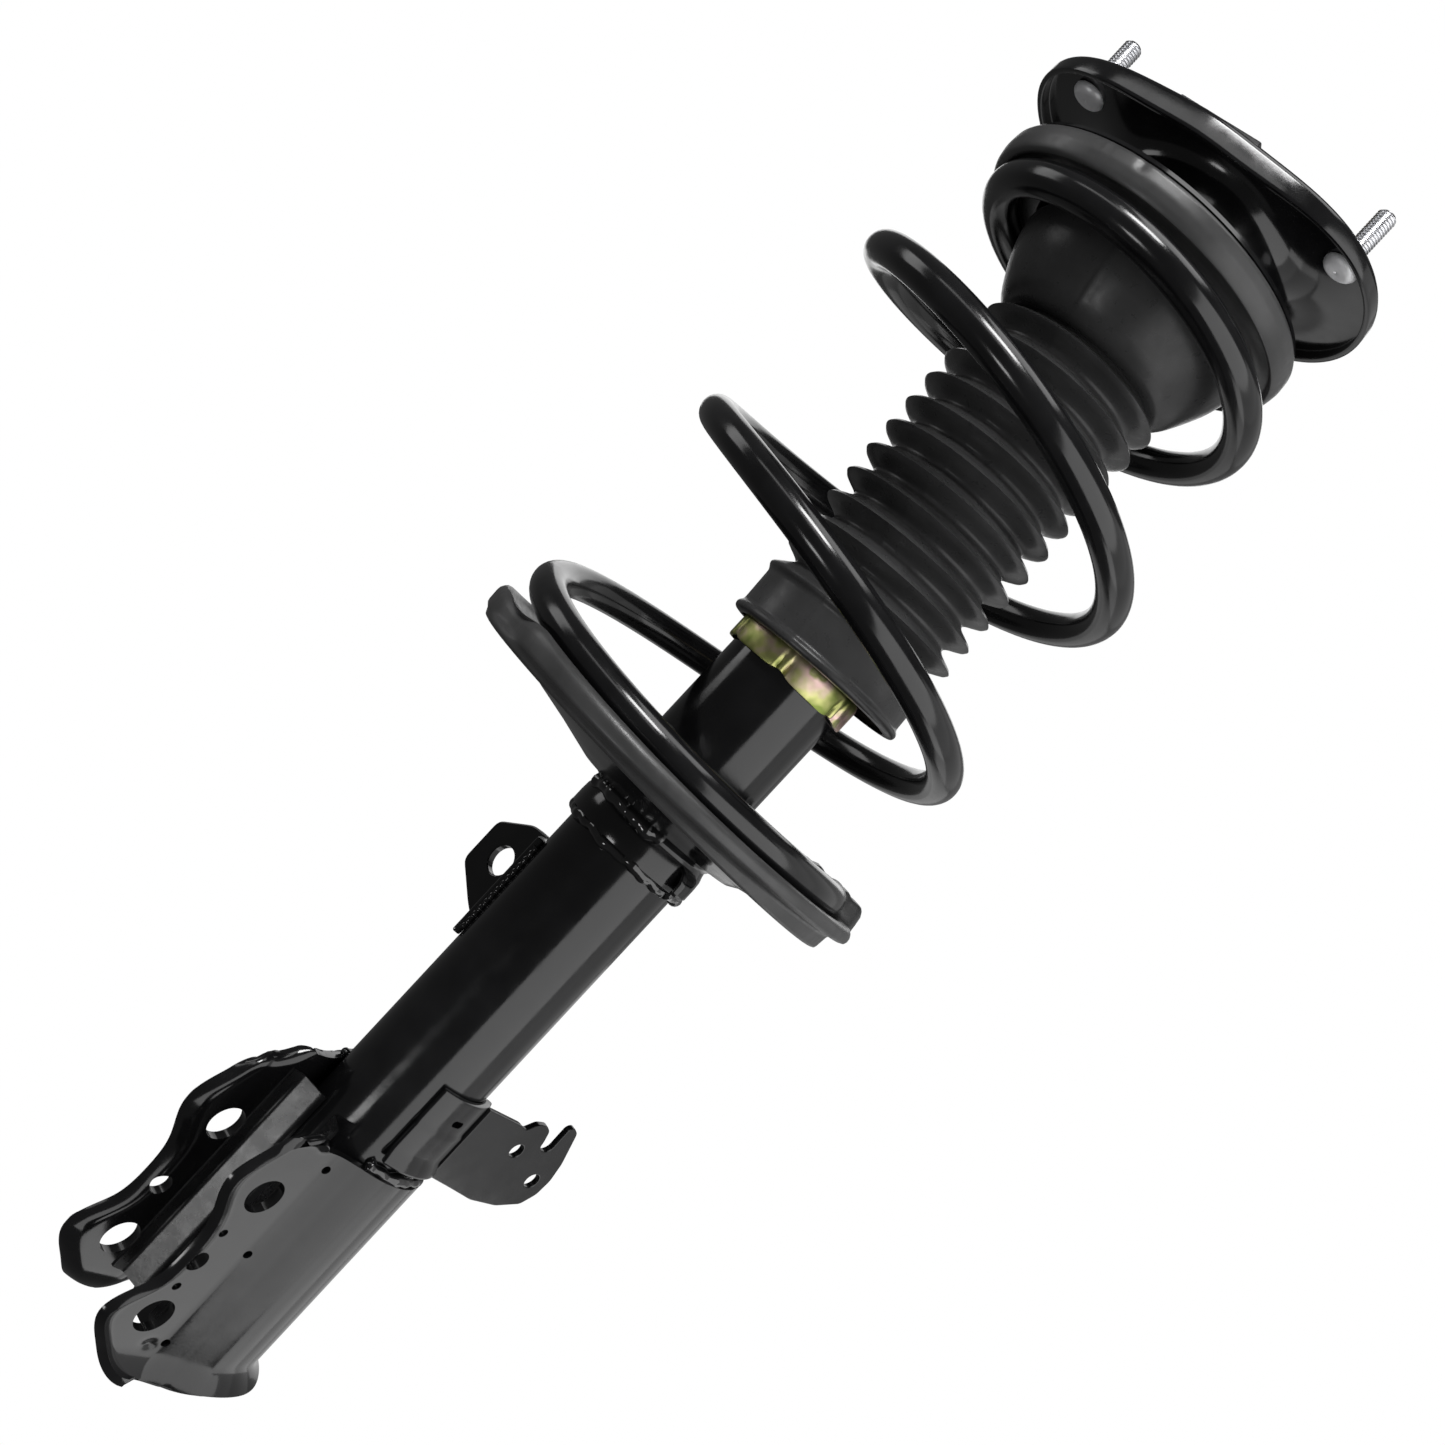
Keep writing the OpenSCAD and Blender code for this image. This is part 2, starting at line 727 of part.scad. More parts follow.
// Outline of the arm, drawn with Y along X: the open slot is closed by its rounded end
module arm_shape() {
    difference() {
        polygon([[16, -446], [38, -447], [42.5, -448], [46.7, -444], [53, -443], [58, -443],
            [67, -439], [71.6, -441], [78.6, -456], [81, -465], [80, -473], [75.6, -480],
            [63, -484], [47, -485], [30, -483], [16, -481]]);
        translate([61.5, -450.5]) circle(r = hook_slot_r, $fn = 32);
        translate([61.5 - hook_slot_r, -450.5]) square([2 * hook_slot_r, 20]);
        translate([47.5, -458]) circle(d = 6.5, $fn = 48);
        for (z = [-466.5, -469.5]) translate([70.5, z]) circle(d = 7, $fn = 48);
    }
}

module hose_bracket() {
    saddle_from = -28;
    saddle_sweep = 74;
    color(black_gloss) difference() {
        union() {
            rotate([0, 0, saddle_from]) rotate_extrude(angle = saddle_sweep)
                translate([tube_r, -saddle_end]) square([saddle_t, saddle_end - saddle_top]);
            translate([arm_in, 0, 0]) rotate([90, 0, 90]) linear_extrude(arm_t) arm_shape();
        }
        bar(tube_r, saddle_top - 10, saddle_end + 10);
        translate([0, 0, -455]) rotate([0, 90, 5]) cylinder(r = 1.6, h = 40, $fn = 32);
    }
}

mount_plate();
mount_studs();
mount_rubber();
mount_core();
rod_washer();
rod_nut();
bearing_upper_race();
piston_rod();
rebound_stop();
rebound_collar();
piston_shims();
piston();
piston_band();
piston_nut();
upper_spring_seat();
bearing_lower_race();
ball_cage();
bearing_balls();
upper_insulator();
dust_boot();
bump_stop_cup();
bump_stop();
strut_tube();
base_cap();
base_valve();
inner_cylinder();
rod_guide();
guide_bush();
rod_seal();
bump_cap();
lower_spring_seat();
seat_lug();
seat_weld();
lower_insulator();
coil_spring();
knuckle_bracket();
bracket_weld();
link_tab();
hose_bracket();
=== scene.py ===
"""Looks of a MacPherson strut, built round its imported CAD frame.

Lengths are in millimetres, apart from the studio at the end, which is in metres.
"""
import json
import math

import bmesh
import bpy
import numpy as np
from mathutils import Matrix, Vector


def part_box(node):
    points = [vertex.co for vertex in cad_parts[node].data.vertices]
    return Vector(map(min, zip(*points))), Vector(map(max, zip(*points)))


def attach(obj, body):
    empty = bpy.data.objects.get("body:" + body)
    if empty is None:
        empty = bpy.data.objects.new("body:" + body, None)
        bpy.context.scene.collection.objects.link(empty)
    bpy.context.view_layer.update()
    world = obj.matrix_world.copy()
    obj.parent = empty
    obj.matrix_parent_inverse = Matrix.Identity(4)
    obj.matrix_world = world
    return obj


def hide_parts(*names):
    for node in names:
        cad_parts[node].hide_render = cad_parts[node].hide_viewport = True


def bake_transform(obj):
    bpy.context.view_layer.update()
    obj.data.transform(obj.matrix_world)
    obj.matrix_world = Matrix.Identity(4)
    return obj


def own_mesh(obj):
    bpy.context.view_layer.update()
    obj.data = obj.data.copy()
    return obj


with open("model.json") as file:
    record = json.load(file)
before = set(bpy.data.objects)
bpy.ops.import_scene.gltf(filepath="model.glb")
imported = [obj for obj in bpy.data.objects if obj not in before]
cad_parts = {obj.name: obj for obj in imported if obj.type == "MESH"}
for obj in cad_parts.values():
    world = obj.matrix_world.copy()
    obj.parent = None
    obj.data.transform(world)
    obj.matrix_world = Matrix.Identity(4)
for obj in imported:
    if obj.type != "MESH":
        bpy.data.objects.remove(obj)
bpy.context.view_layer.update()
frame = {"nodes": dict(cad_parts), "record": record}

MM = 0.001
TAU = 2 * math.pi


# -------------------- sizes from the frame

def span(node):
    """A node's box in millimetres, as its lowest and highest corners."""
    low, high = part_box(node)
    return [v / MM for v in low], [v / MM for v in high]


def top_of(node):
    return span(node)[1][2]


def end_of(node):
    return span(node)[0][2]


def radius_of(node):
    low, high = span(node)
    return (high[0] - low[0]) / 2


def holes_of(prefix):
    """The round mounts whose names start like this, as (x, y, z, radius) in millimetres."""
    found = [m for m in frame["record"]["mounts"] if m["name"].startswith(prefix)]
    return [tuple(v / MM for v in m["pos_m"]) + (m["dims"]["r_mm"],) for m in found]


TUBE_R = radius_of("strut_tube")
CAP_R = radius_of("bump_cap") + 0.05
COLLAR_R = TUBE_R + 3.8
SEAT_END = end_of("seat_lug") - 1
STUD_TOP = top_of("mount_studs")
CUP_END = top_of("bearing_upper_race")
FLANGE_TOP = top_of("upper_spring_seat")
SEAT_DISC = end_of("bearing_lower_race")
BRACKET_TOP = end_of("bracket_weld")
FAR_TOP = top_of("knuckle_bracket")
BRACKET_END = end_of("knuckle_bracket")
STUDS = holes_of("tower_stud")
BOLT_HOLES = holes_of("knuckle_bolt")
LINK_HOLE = holes_of("link_hole")[0]
HOSE_HOLE = holes_of("hose_hole")[0]

# The side that the spring leans away from, and how far each ring stands off and tilts
SIDE = math.radians(40)
LOWER_OFFSET = 12.0
UPPER_OFFSET = 4.0
FLANGE_OFFSET = 7.0
SEAT_TILT = math.radians(2.75)
BOOT_TILT = math.radians(1.7)


# -------------------- shape helpers

def ease(v):
    """A smooth step from 0 to 1 as v goes from 0 to 1."""
    s = min(1.0, max(0.0, v))
    return s * s * (3 - 2 * s)


def ramp_area(t, a, b):
    """Area under a ramp that starts at a and reaches one at b."""
    if t <= a:
        return 0.0
    if t >= b:
        return t - (a + b) / 2
    return (t - a) ** 2 / (2 * (b - a))


def polar(r, angle, z, offset=0.0):
    """A point at radius r round an axis that stands off from the rod's axis, away from SIDE."""
    x = r * math.cos(angle) - offset * math.cos(SIDE)
    y = r * math.sin(angle) - offset * math.sin(SIDE)
    return (x, y, z)


def bell(d, half_width):
    """One at d = 0, falling smoothly to nothing over a few half widths."""
    return math.exp(-(d / half_width) ** 2)


def angle_from(angle, middle):
    """How far an angle is from a middle, from minus half a turn to half a turn."""
    return math.remainder(angle - middle, TAU)


def rounded(points, r, steps=4, closed=True):
    """The outline with each corner turned into a short curve that starts r from the corner."""
    out = []
    count = len(points)
    for i, corner in enumerate(points):
        if not closed and i in (0, count - 1):
            out.append(tuple(corner))
            continue
        p = Vector(corner)
        a = Vector(points[i - 1]) - p
        b = Vector(points[(i + 1) % count]) - p
        a = a * min(r / a.length, 0.49)
        b = b * min(r / b.length, 0.49)
        for k in range(steps + 1):
            u = k / steps
            out.append(tuple(p + a * (1 - u) ** 2 + b * u ** 2))
    return out


def make_mesh(name, verts, faces):
    mesh = bpy.data.meshes.new(name)
    mesh.from_pydata([tuple(c * MM for c in v) for v in verts], [], faces)
    return mesh


def place(mesh, name, material, body, smooth=35):
    """A mesh becomes a piece. It rides on a body, if one is given."""
    bm = bmesh.new()
    bm.from_mesh(mesh)
    bmesh.ops.remove_doubles(bm, verts=bm.verts, dist=1e-6)
    bmesh.ops.dissolve_degenerate(bm, edges=bm.edges, dist=1e-7)
    bmesh.ops.recalc_face_normals(bm, faces=bm.faces)
    limit = math.radians(smooth)
    for face in bm.faces:
        face.smooth = True
    for edge in bm.edges:
        edge.smooth = len(edge.link_faces) == 2 and edge.calc_face_angle(0.0) < limit
    bm.to_mesh(mesh)
    bm.free()
    obj = bpy.data.objects.new(name, mesh)
    bpy.context.scene.collection.objects.link(obj)
    obj.data.materials.append(material)
    if body:
        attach(obj, body)
    return obj


def grid_faces(rows, columns, wrap_rows=False, wrap_columns=True):
    """Four-sided faces between the points of a grid, given row by row."""
    faces = []
    for i in range(rows if wrap_rows else rows - 1):
        for j in range(columns if wrap_columns else columns - 1):
            k = (j + 1) % columns
            n = (i + 1) % rows
            faces.append((i * columns + j, i * columns + k, n * columns + k, n * columns + j))
    return faces


def capped_faces(rows, columns):
    """The faces of a grid that closes round its columns, with a flat face at each end."""
    first = tuple(range(columns - 1, -1, -1))
    last = tuple((rows - 1) * columns + j for j in range(columns))
    return grid_faces(rows, columns) + [first, last]


def turned(section, segments):
    """Rows of points at even angles right round. section(angle) gives each row."""
    return [section(TAU * i / segments) for i in range(segments)]


def ring_mesh(name, loop, segments):
    """A solid ring, from the closed loop of points that loop(angle) gives."""
    rows = turned(loop, segments)
    verts = [point for row in rows for point in row]
    return make_mesh(name, verts, grid_faces(segments, len(rows[0]), wrap_rows=True))


def lathe_mesh(name, profile, segments=96):
    """A closed outline of (radius, z) turned round the rod's axis."""
    return ring_mesh(name, lambda a: [polar(r, a, z) for r, z in profile], segments)


def tube_mesh(name, path, radius, sides):
    """A round bar along a list of points. Its radius is a number or a function of the point's index."""
    points = [Vector(p) for p in path]
    verts = []
    normal = None
    for i, p in enumerate(points):
        tangent = (points[min(i + 1, len(points) - 1)] - points[max(i - 1, 0)]).normalized()
        if normal is None:
            normal = tangent.orthogonal()
        normal = (normal - tangent * normal.dot(tangent)).normalized()
        other = tangent.cross(normal)
        r = radius(i) if callable(radius) else radius
        for j in range(sides):
            b = TAU * j / sides
            verts.append(tuple(p + (normal * math.cos(b) + other * math.sin(b)) * r))
    return make_mesh(name, verts, capped_faces(len(points), sides))


def drill_mesh(start, end, radius):
    """A cutter for a round hole between two points, a millimetre longer at each end."""
    a = Vector(start)
    b = Vector(end)
    beyond = (b - a).normalized()
    return tube_mesh("cutter", [a - beyond, b + beyond], radius, 40)


def applied(mesh, modifiers, cutters):
    """The mesh after its modifiers, given as (type, settings), and after the cutters are taken away."""
    obj = bpy.data.objects.new("work", mesh)
    bpy.context.scene.collection.objects.link(obj)
    for kind, settings in modifiers:
        modifier = obj.modifiers.new(kind, kind)
        for key, value in settings.items():
            setattr(modifier, key, value)
    helpers = []
    for cutter in cutters:
        helper = bpy.data.objects.new("cutter", cutter)
        bpy.context.scene.collection.objects.link(helper)
        helpers.append(helper)
        modifier = obj.modifiers.new("cut", "BOOLEAN")
        modifier.operation = "DIFFERENCE"
        modifier.solver = "EXACT"
        modifier.object = helper
    bpy.context.view_layer.update()
    evaluated = obj.evaluated_get(bpy.context.evaluated_depsgraph_get())
    result = bpy.data.meshes.new_from_object(evaluated)
    for helper in [obj] + helpers:
        bpy.data.objects.remove(helper)
    return result


def sheet_mesh(name, rows, thickness, bevel, wrap_rows=False, cutters=()):
    """A sheet of even thickness through a grid of points, with its edges rounded."""
    verts = [point for row in rows for point in row]
    faces = grid_faces(len(rows), len(rows[0]), wrap_rows, wrap_columns=False)
    solid = [("SOLIDIFY", {"thickness": thickness * MM, "offset": 0.0})]
    if bevel:
        solid.append(("BEVEL", {"width": bevel * MM, "segments": 2, "limit_method": "ANGLE",
                                "angle_limit": math.radians(50)}))
    return applied(make_mesh(name, verts, faces), solid, cutters)


def plate_mesh(name, outline, holes, thickness, to_strut, bevel=0.5):
    """A flat plate with round holes. to_strut turns its own x, y and z into the strut's."""
    curve = bpy.data.curves.new(name, "CURVE")
    curve.dimensions = "2D"
    curve.fill_mode = "BOTH"
    curve.extrude = (thickness / 2 - bevel) * MM
    curve.bevel_depth = bevel * MM
    curve.bevel_resolution = 2
    curve.offset = -bevel * MM
    turn = [TAU * k / 32 for k in range(32)]
    circles = [[(x + r * math.cos(a), y + r * math.sin(a)) for a in turn] for x, y, r in holes]
    for points in [outline] + circles:
        spline = curve.splines.new("POLY")
        spline.points.add(len(points) - 1)
        for point, (x, y) in zip(spline.points, points):
            point.co = (x * MM, y * MM, 0, 1)
        spline.use_cyclic_u = True
    obj = bpy.data.objects.new("work", curve)
    bpy.context.scene.collection.objects.link(obj)
    bpy.context.view_layer.update()
    mesh = bpy.data.meshes.new_from_object(obj.evaluated_get(bpy.context.evaluated_depsgraph_get()))
    bpy.data.objects.remove(obj)
    for vertex in mesh.vertices:
        vertex.co = Vector(to_strut(*(c / MM for c in vertex.co))) * MM
    return mesh


# -------------------- materials

class Paint:
    """A Principled material whose colour, roughness and bump come from noise.

    Keywords set the shader's inputs, with _ for a space.
    """

    def __init__(self, name, **sockets):
        self.material = bpy.data.materials.new(name)
        self.material.use_nodes = True
        self.tree = self.material.node_tree
        self.shader = self.tree.nodes["Principled BSDF"]
        self.place = self.tree.nodes.new("ShaderNodeTexCoord").outputs["Object"]
        for key, value in sockets.items():
            self.shader.inputs[key.replace("_", " ")].default_value = value

    def noise(self, scale, detail=4.0, stretch=(1, 1, 1)):
        mapping = self.tree.nodes.new("ShaderNodeMapping")
        mapping.inputs["Scale"].default_value = stretch
        noise = self.tree.nodes.new("ShaderNodeTexNoise")
        noise.inputs["Scale"].default_value = scale
        noise.inputs["Detail"].default_value = detail
        self.tree.links.new(self.place, mapping.inputs["Vector"])
        self.tree.links.new(mapping.outputs["Vector"], noise.inputs["Vector"])
        return noise.outputs["Fac"]

    def ramp(self, source, stops, socket):
        """stops are (place, value or colour)."""
        node = self.tree.nodes.new("ShaderNodeValToRGB")
        elements = node.color_ramp.elements
        while len(elements) < len(stops):
            elements.new(0.5)
        for element, (at, value) in zip(elements, stops):
            element.position = at
            element.color = (value, value, value, 1) if isinstance(value, float) else (*value, 1)
        self.tree.links.new(source, node.inputs["Fac"])
        self.tree.links.new(node.outputs["Color"], self.shader.inputs[socket])

    def bumped(self, layers):
        """The finished material. layers are (height output, strength, distance in mm)."""
        normal = None
        for source, strength, distance in layers:
            node = self.tree.nodes.new("ShaderNodeBump")
            node.inputs["Strength"].default_value = strength
            node.inputs["Distance"].default_value = distance * MM
            self.tree.links.new(source, node.inputs["Height"])
            if normal:
                self.tree.links.new(normal, node.inputs["Normal"])
            normal = node.outputs["Normal"]
        self.tree.links.new(normal, self.shader.inputs["Normal"])
        return self.material


def gloss_black(name, peel=0.12, rough=0.13):
    """Gloss black paint with a fine orange peel."""
    paint = Paint(name, Specular_IOR_Level=0.5, IOR=1.5)
    paint.ramp(paint.noise(60.0), [(0.3, (0.0035, 0.0035, 0.0038)), (0.7, (0.0075, 0.0075, 0.008))],
               "Base Color")
    paint.ramp(paint.noise(140.0), [(0.3, rough - 0.03), (0.75, rough + 0.05)], "Roughness")
    return paint.bumped([(paint.noise(900.0, 2.0), peel, 0.05), (paint.noise(160.0, 3.0), peel, 0.12)])


def weld_paint():
    """Gloss black paint over the rough skin of a weld."""
    paint = Paint("weld_gloss_black", Specular_IOR_Level=0.8, IOR=1.5)
    paint.ramp(paint.noise(90.0), [(0.3, (0.004, 0.004, 0.0042)), (0.7, (0.009, 0.009, 0.0095))],
               "Base Color")
    paint.ramp(paint.noise(200.0), [(0.3, 0.08), (0.75, 0.16)], "Roughness")
    return paint.bumped([(paint.noise(420.0, 2.0), 0.15, 0.25), (paint.noise(130.0, 2.0), 0.6, 1.0)])


def moulded_rubber(name, base, rough, gloss=0.4):
    """Rubber with a cloudy bloom and a fine grain."""
    paint = Paint(name, Specular_IOR_Level=gloss)
    light = tuple(1.6 * c for c in base)
    paint.ramp(paint.noise(45.0, 6.0), [(0.3, base), (0.75, light)], "Base Color")
    paint.ramp(paint.noise(250.0), [(0.25, rough - 0.06), (0.8, rough + 0.1)], "Roughness")
    return paint.bumped([(paint.noise(1500.0, 2.0), 0.08, 0.05), (paint.noise(120.0, 4.0), 0.12, 0.2)])


def metal(name, dark, light, rough, stretch=(1, 1, 1), scale=400.0, bump=0.15, metallic=1.0):
    """Bare or plated metal. A stretch along one axis draws its marks out along the others."""
    paint = Paint(name, Metallic=metallic)
    paint.ramp(paint.noise(scale, 5.0, stretch), [(0.3, dark), (0.7, light)], "Base Color")
    paint.ramp(paint.noise(scale * 0.7, 4.0, stretch), [(0.25, rough - 0.05), (0.8, rough + 0.12)],
               "Roughness")
    return paint.bumped([(paint.noise(scale * 3, 3.0, stretch), bump, 0.03)])


def yellow_zinc_material():
    """Passivated zinc, whose film shifts from olive through gold to violet."""
    paint = Paint("yellow_zinc_film", Metallic=1.0)
    paint.ramp(paint.noise(55.0, 3.0), [(0.32, (0.2, 0.25, 0.06)), (0.42, (0.48, 0.48, 0.19)),
                                        (0.48, (0.62, 0.51, 0.36)), (0.53, (0.68, 0.47, 0.44)),
                                        (0.58, (0.3, 0.32, 0.12)), (0.66, (0.76, 0.63, 0.48))],
               "Base Color")
    paint.ramp(paint.noise(300.0), [(0.3, 0.34), (0.7, 0.48)], "Roughness")
    return paint.bumped([(paint.noise(700.0, 3.0), 0.25, 0.05)])


def foam_material():
    paint = Paint("cellular_foam", Specular_IOR_Level=0.3)
    paint.ramp(paint.noise(220.0, 5.0), [(0.3, (0.5, 0.4, 0.18)), (0.7, (0.75, 0.64, 0.36))],
               "Base Color")
    paint.ramp(paint.noise(500.0), [(0.3, 0.6), (0.7, 0.8)], "Roughness")
    return paint.bumped([(paint.noise(900.0, 4.0), 0.6, 0.25)])


def plastic_material():
    paint = Paint("moulded_plastic", Specular_IOR_Level=0.45)
    paint.ramp(paint.noise(150.0), [(0.3, (0.62, 0.58, 0.46)), (0.7, (0.72, 0.68, 0.56))],
               "Base Color")
    paint.ramp(paint.noise(400.0), [(0.3, 0.38), (0.7, 0.5)], "Roughness")
    return paint.bumped([(paint.noise(1200.0, 2.0), 0.2, 0.05)])


BLACK = gloss_black("gloss_black_paint")
COIL_COAT = gloss_black("coil_powder_coat", 0.08, 0.16)
WELD = weld_paint()
CHANNEL = gloss_black("channel_black_paint", 0.5, 0.26)
RUBBER = moulded_rubber("moulded_rubber", (0.032, 0.032, 0.0323), 0.34)
BOOT = moulded_rubber("boot_rubber", (0.029, 0.029, 0.0293), 0.3, 0.26)
SEAL = moulded_rubber("seal_rubber", (0.014, 0.014, 0.014), 0.35)
ZINC = metal("bright_zinc", (0.74, 0.75, 0.77), (0.84, 0.84, 0.86), 0.2, scale=150.0, bump=0.05)
HEAD_ZINC = metal("satin_zinc", (0.8, 0.8, 0.82), (0.93, 0.93, 0.94), 0.42, scale=150.0, metallic=0.35)
STEEL = metal("machined_steel", (0.42, 0.43, 0.44), (0.6, 0.61, 0.62), 0.3, (1, 1, 12), 300.0)
GROUND = metal("ground_steel", (0.6, 0.61, 0.62), (0.74, 0.75, 0.76), 0.16, scale=600.0, bump=0.08)
CHROME = metal("hard_chrome", (0.72, 0.73, 0.75), (0.82, 0.83, 0.85), 0.07, (1, 1, 20), 500.0, 0.03)
BRONZE = metal("bush_bronze", (0.42, 0.28, 0.12), (0.6, 0.42, 0.22), 0.3, (1, 1, 10), 300.0)
YELLOW = yellow_zinc_material()
FOAM = foam_material()
PLASTIC = plastic_material()

SLOT_MATERIALS = {
    "black_paint": BLACK, "spring_coating": COIL_COAT, "stud_zinc": ZINC, "rubber": RUBBER,
    "boot_rubber": BOOT, "seal_rubber": SEAL, "plain_steel": STEEL, "bearing_steel": GROUND,
    "yellow_zinc": YELLOW, "rod_chrome": CHROME, "bush_bronze": BRONZE, "cage_plastic": PLASTIC,
    "bump_foam": FOAM}
for part in frame["record"]["subparts"]:
    node = frame["nodes"][part["node"]]
    for material_slot in node.material_slots:
        material_slot.material = SLOT_MATERIALS[part["material_slot"]]


# -------------------- coil spring

WIRE_R = 7.0
COIL_R = 80.5
END_COIL_R = 63.0
TURNS = 3.85
PITCH = 88.0
COIL_START = -297.4
COIL_TILT = math.radians(1.9)


def coil_rise(t):
    """How far the wire has climbed after t turns: flat end coils with an even pitch between them."""
    return PITCH * (ramp_area(t, 0.15, 0.45) - ramp_area(t, 2.6, 3.6))


def coil_point(t):
    """The wire's centre after t turns. The free turns are tilted and the last ones are tighter."""
    share = coil_rise(t) / coil_rise(4)
    r = COIL_R - (COIL_R - END_COIL_R) * ease((t - 2.3) / 1.3)
    offset = LOWER_OFFSET + (UPPER_OFFSET - LOWER_OFFSET) * share
    tilted = ease((t - 0.2) / 0.8) * (1 - ease((t - 2.9) / 0.5))
    dip = r * math.cos(TAU * t) * math.tan(COIL_TILT) * tilted
    return polar(r, SIDE - TAU * t, COIL_START + coil_rise(t) - dip, offset)


def link_bodies(obj):
    """Bakes the piece's placement into its mesh."""
    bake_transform(obj)


def build_coil():
    """The wire. ends says where a few close rings round the edge of each cut end."""
    rings = 620
    sides = 32
    edge = 1.6
    ends = [0.0, 0.12, 0.5, 1.0]
    wire_length = TAU * COIL_R * TURNS
    inset = [edge * s / wire_length * TURNS for s in ends]
    stations = inset[:-1] + list(np.linspace(inset[-1], TURNS - inset[-1], rings))
    stations += [TURNS - s for s in reversed(inset[:-1])]
    last = len(stations) - 1

    def radius(i):
        k = min(i, last - i)
        if k >= len(ends):
            return WIRE_R
        return WIRE_R - edge + edge * math.sqrt(1 - (1 - ends[k]) ** 2)

    mesh = tube_mesh("coil_spring_wire", [coil_point(t) for t in stations], radius, sides)
    obj = place(mesh, "coil_spring_wire", COIL_COAT, None, 60)
    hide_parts("coil_spring")
    top = coil_rise(TURNS)
    rises = [coil_rise(t) / top for t in stations for _ in range(sides)]
    assert len(obj.data.vertices) == len(rises), "the wire's rings were merged"
    link_bodies(obj)


# -------------------- dust boot and bump stop

BOOT_TOP = FLANGE_TOP - 4.0
BOOT_END = -238.5
FOLDS = 11
FOLD_FIRST = -87.5
FOLD_PITCH = 11.75
RIDGE_R = 40.8
ROOT_R = 32.6
CUFF_R = 38.9
CUFF_TOP = -216.0
LEAN_FROM = -115.0


def boot_outline():
    """Outer line of the boot from its lip down to its cuff, as (radius, z)."""
    hood = [(51, BOOT_TOP), (51, -46), (52.6, -48.5), (52.5, -53), (49.5, -63), (45, -72),
            (41.2, -78.5), (36.8, -82)]
    line = rounded(hood, 4, 3, closed=False)
    steps = 12
    for i in range(FOLDS):
        for k in range(steps):
            u = k / steps
            wave = 0.5 - 0.5 * math.cos(TAU * u)
            r = ROOT_R + (RIDGE_R - ROOT_R) * (0.72 * wave + 0.28 * wave ** 3)
            line.append((r, FOLD_FIRST + FOLD_PITCH * (0.5 - i - u)))
    shoulder = [(ROOT_R + 0.6, FOLD_FIRST - FOLD_PITCH * (FOLDS - 0.5)), (CUFF_R + 1.3, CUFF_TOP + 0.4),
                (CUFF_R + 1.4, CUFF_TOP - 0.8), (CUFF_R - 0.1, CUFF_TOP - 3.0)]
    lip = [(CUFF_R, BOOT_END + 4.4), (CUFF_R + 1.3, BOOT_END + 3.2), (CUFF_R + 1.6, BOOT_END + 1.7),
           (CUFF_R + 0.9, BOOT_END + 0.3), (CUFF_R - 1.2, BOOT_END)]
    return line + rounded(shoulder + lip, 1.1, 3, closed=False)


def build_boot():
    """The boot's skin. Below LEAN_FROM it leans towards SIDE, and two mould lines run down it."""
    wall = 1.8
    outer = boot_outline()
    inner = [(r - wall, z) for r, z in reversed(outer)]
    loop = outer + inner
    mould_lines = [SIDE + math.radians(d) for d in (-112, 68)]
    line_width = math.radians(0.7)
    lean_slope = 0.047

    def ring(angle):
        bead = sum(0.35 * bell(angle_from(angle, m), line_width) for m in mould_lines)
        points = []
        for k, (r, z) in enumerate(loop):
            r += bead if k < len(outer) else 0
            lean = max(0.0, LEAN_FROM - z) * lean_slope
            points.append(polar(r, angle, z + r * math.cos(angle - SIDE) * math.sin(BOOT_TILT), -lean))
        return points

    mesh = ring_mesh("dust_boot_skin", ring, 216)
    obj = place(mesh, "dust_boot_skin", BOOT, None, 50)
    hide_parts("dust_boot")
    link_bodies(obj)


def build_bump_stop():
    """A lobed sleeve of foam that narrows towards its lower end."""
    top = top_of("bump_stop")
    end = end_of("bump_stop")
    lobes = 4
    lobe_depth = 2.2
    steps = 18 * lobes
    inner_r = 11.9
    middle_r = 23.6
    taper = 2.5
    outer = []
    for k in range(steps + 1):
        d = k / steps
        r = middle_r - taper * d - lobe_depth * math.cos(TAU * lobes * d)
        outer.append((r, top + (end - top) * d))
    profile = rounded([(inner_r, top)] + outer + [(inner_r, end)], 0.8, 2)
    mesh = lathe_mesh("bump_stop_foam", profile)
    obj = place(mesh, "bump_stop_foam", FOAM, "upper_seat")
    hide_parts("bump_stop")
    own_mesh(obj)


# -------------------- top mount

PLATE_R = 80.5
PLATE_T = 2.5
PLATE_FLAT = 22.0
PLATE_WIDER = 3.0
FLAT_DIR = math.radians(288)
FLAT_HALF = math.radians(50)
WIDE_DIR = math.radians(205)
RIM_END = -7.0
RIM_DEEPER = 3.5
CUP_R = 42.0
CUP_HOLE_R = 20.0


def flat_share(angle):
    """One at the middle of the plate's flattened side, zero well away from it."""
    return math.exp(-abs(angle_from(angle, FLAT_DIR) / FLAT_HALF) ** 3)


def plate_r(angle):
    return PLATE_R + PLATE_WIDER * math.cos(angle - WIDE_DIR) - PLATE_FLAT * flat_share(angle)


def quarter(steps):
    """Angles from 0 to 90 degrees."""
    return [k / steps * math.pi / 2 for k in range(steps + 1)]


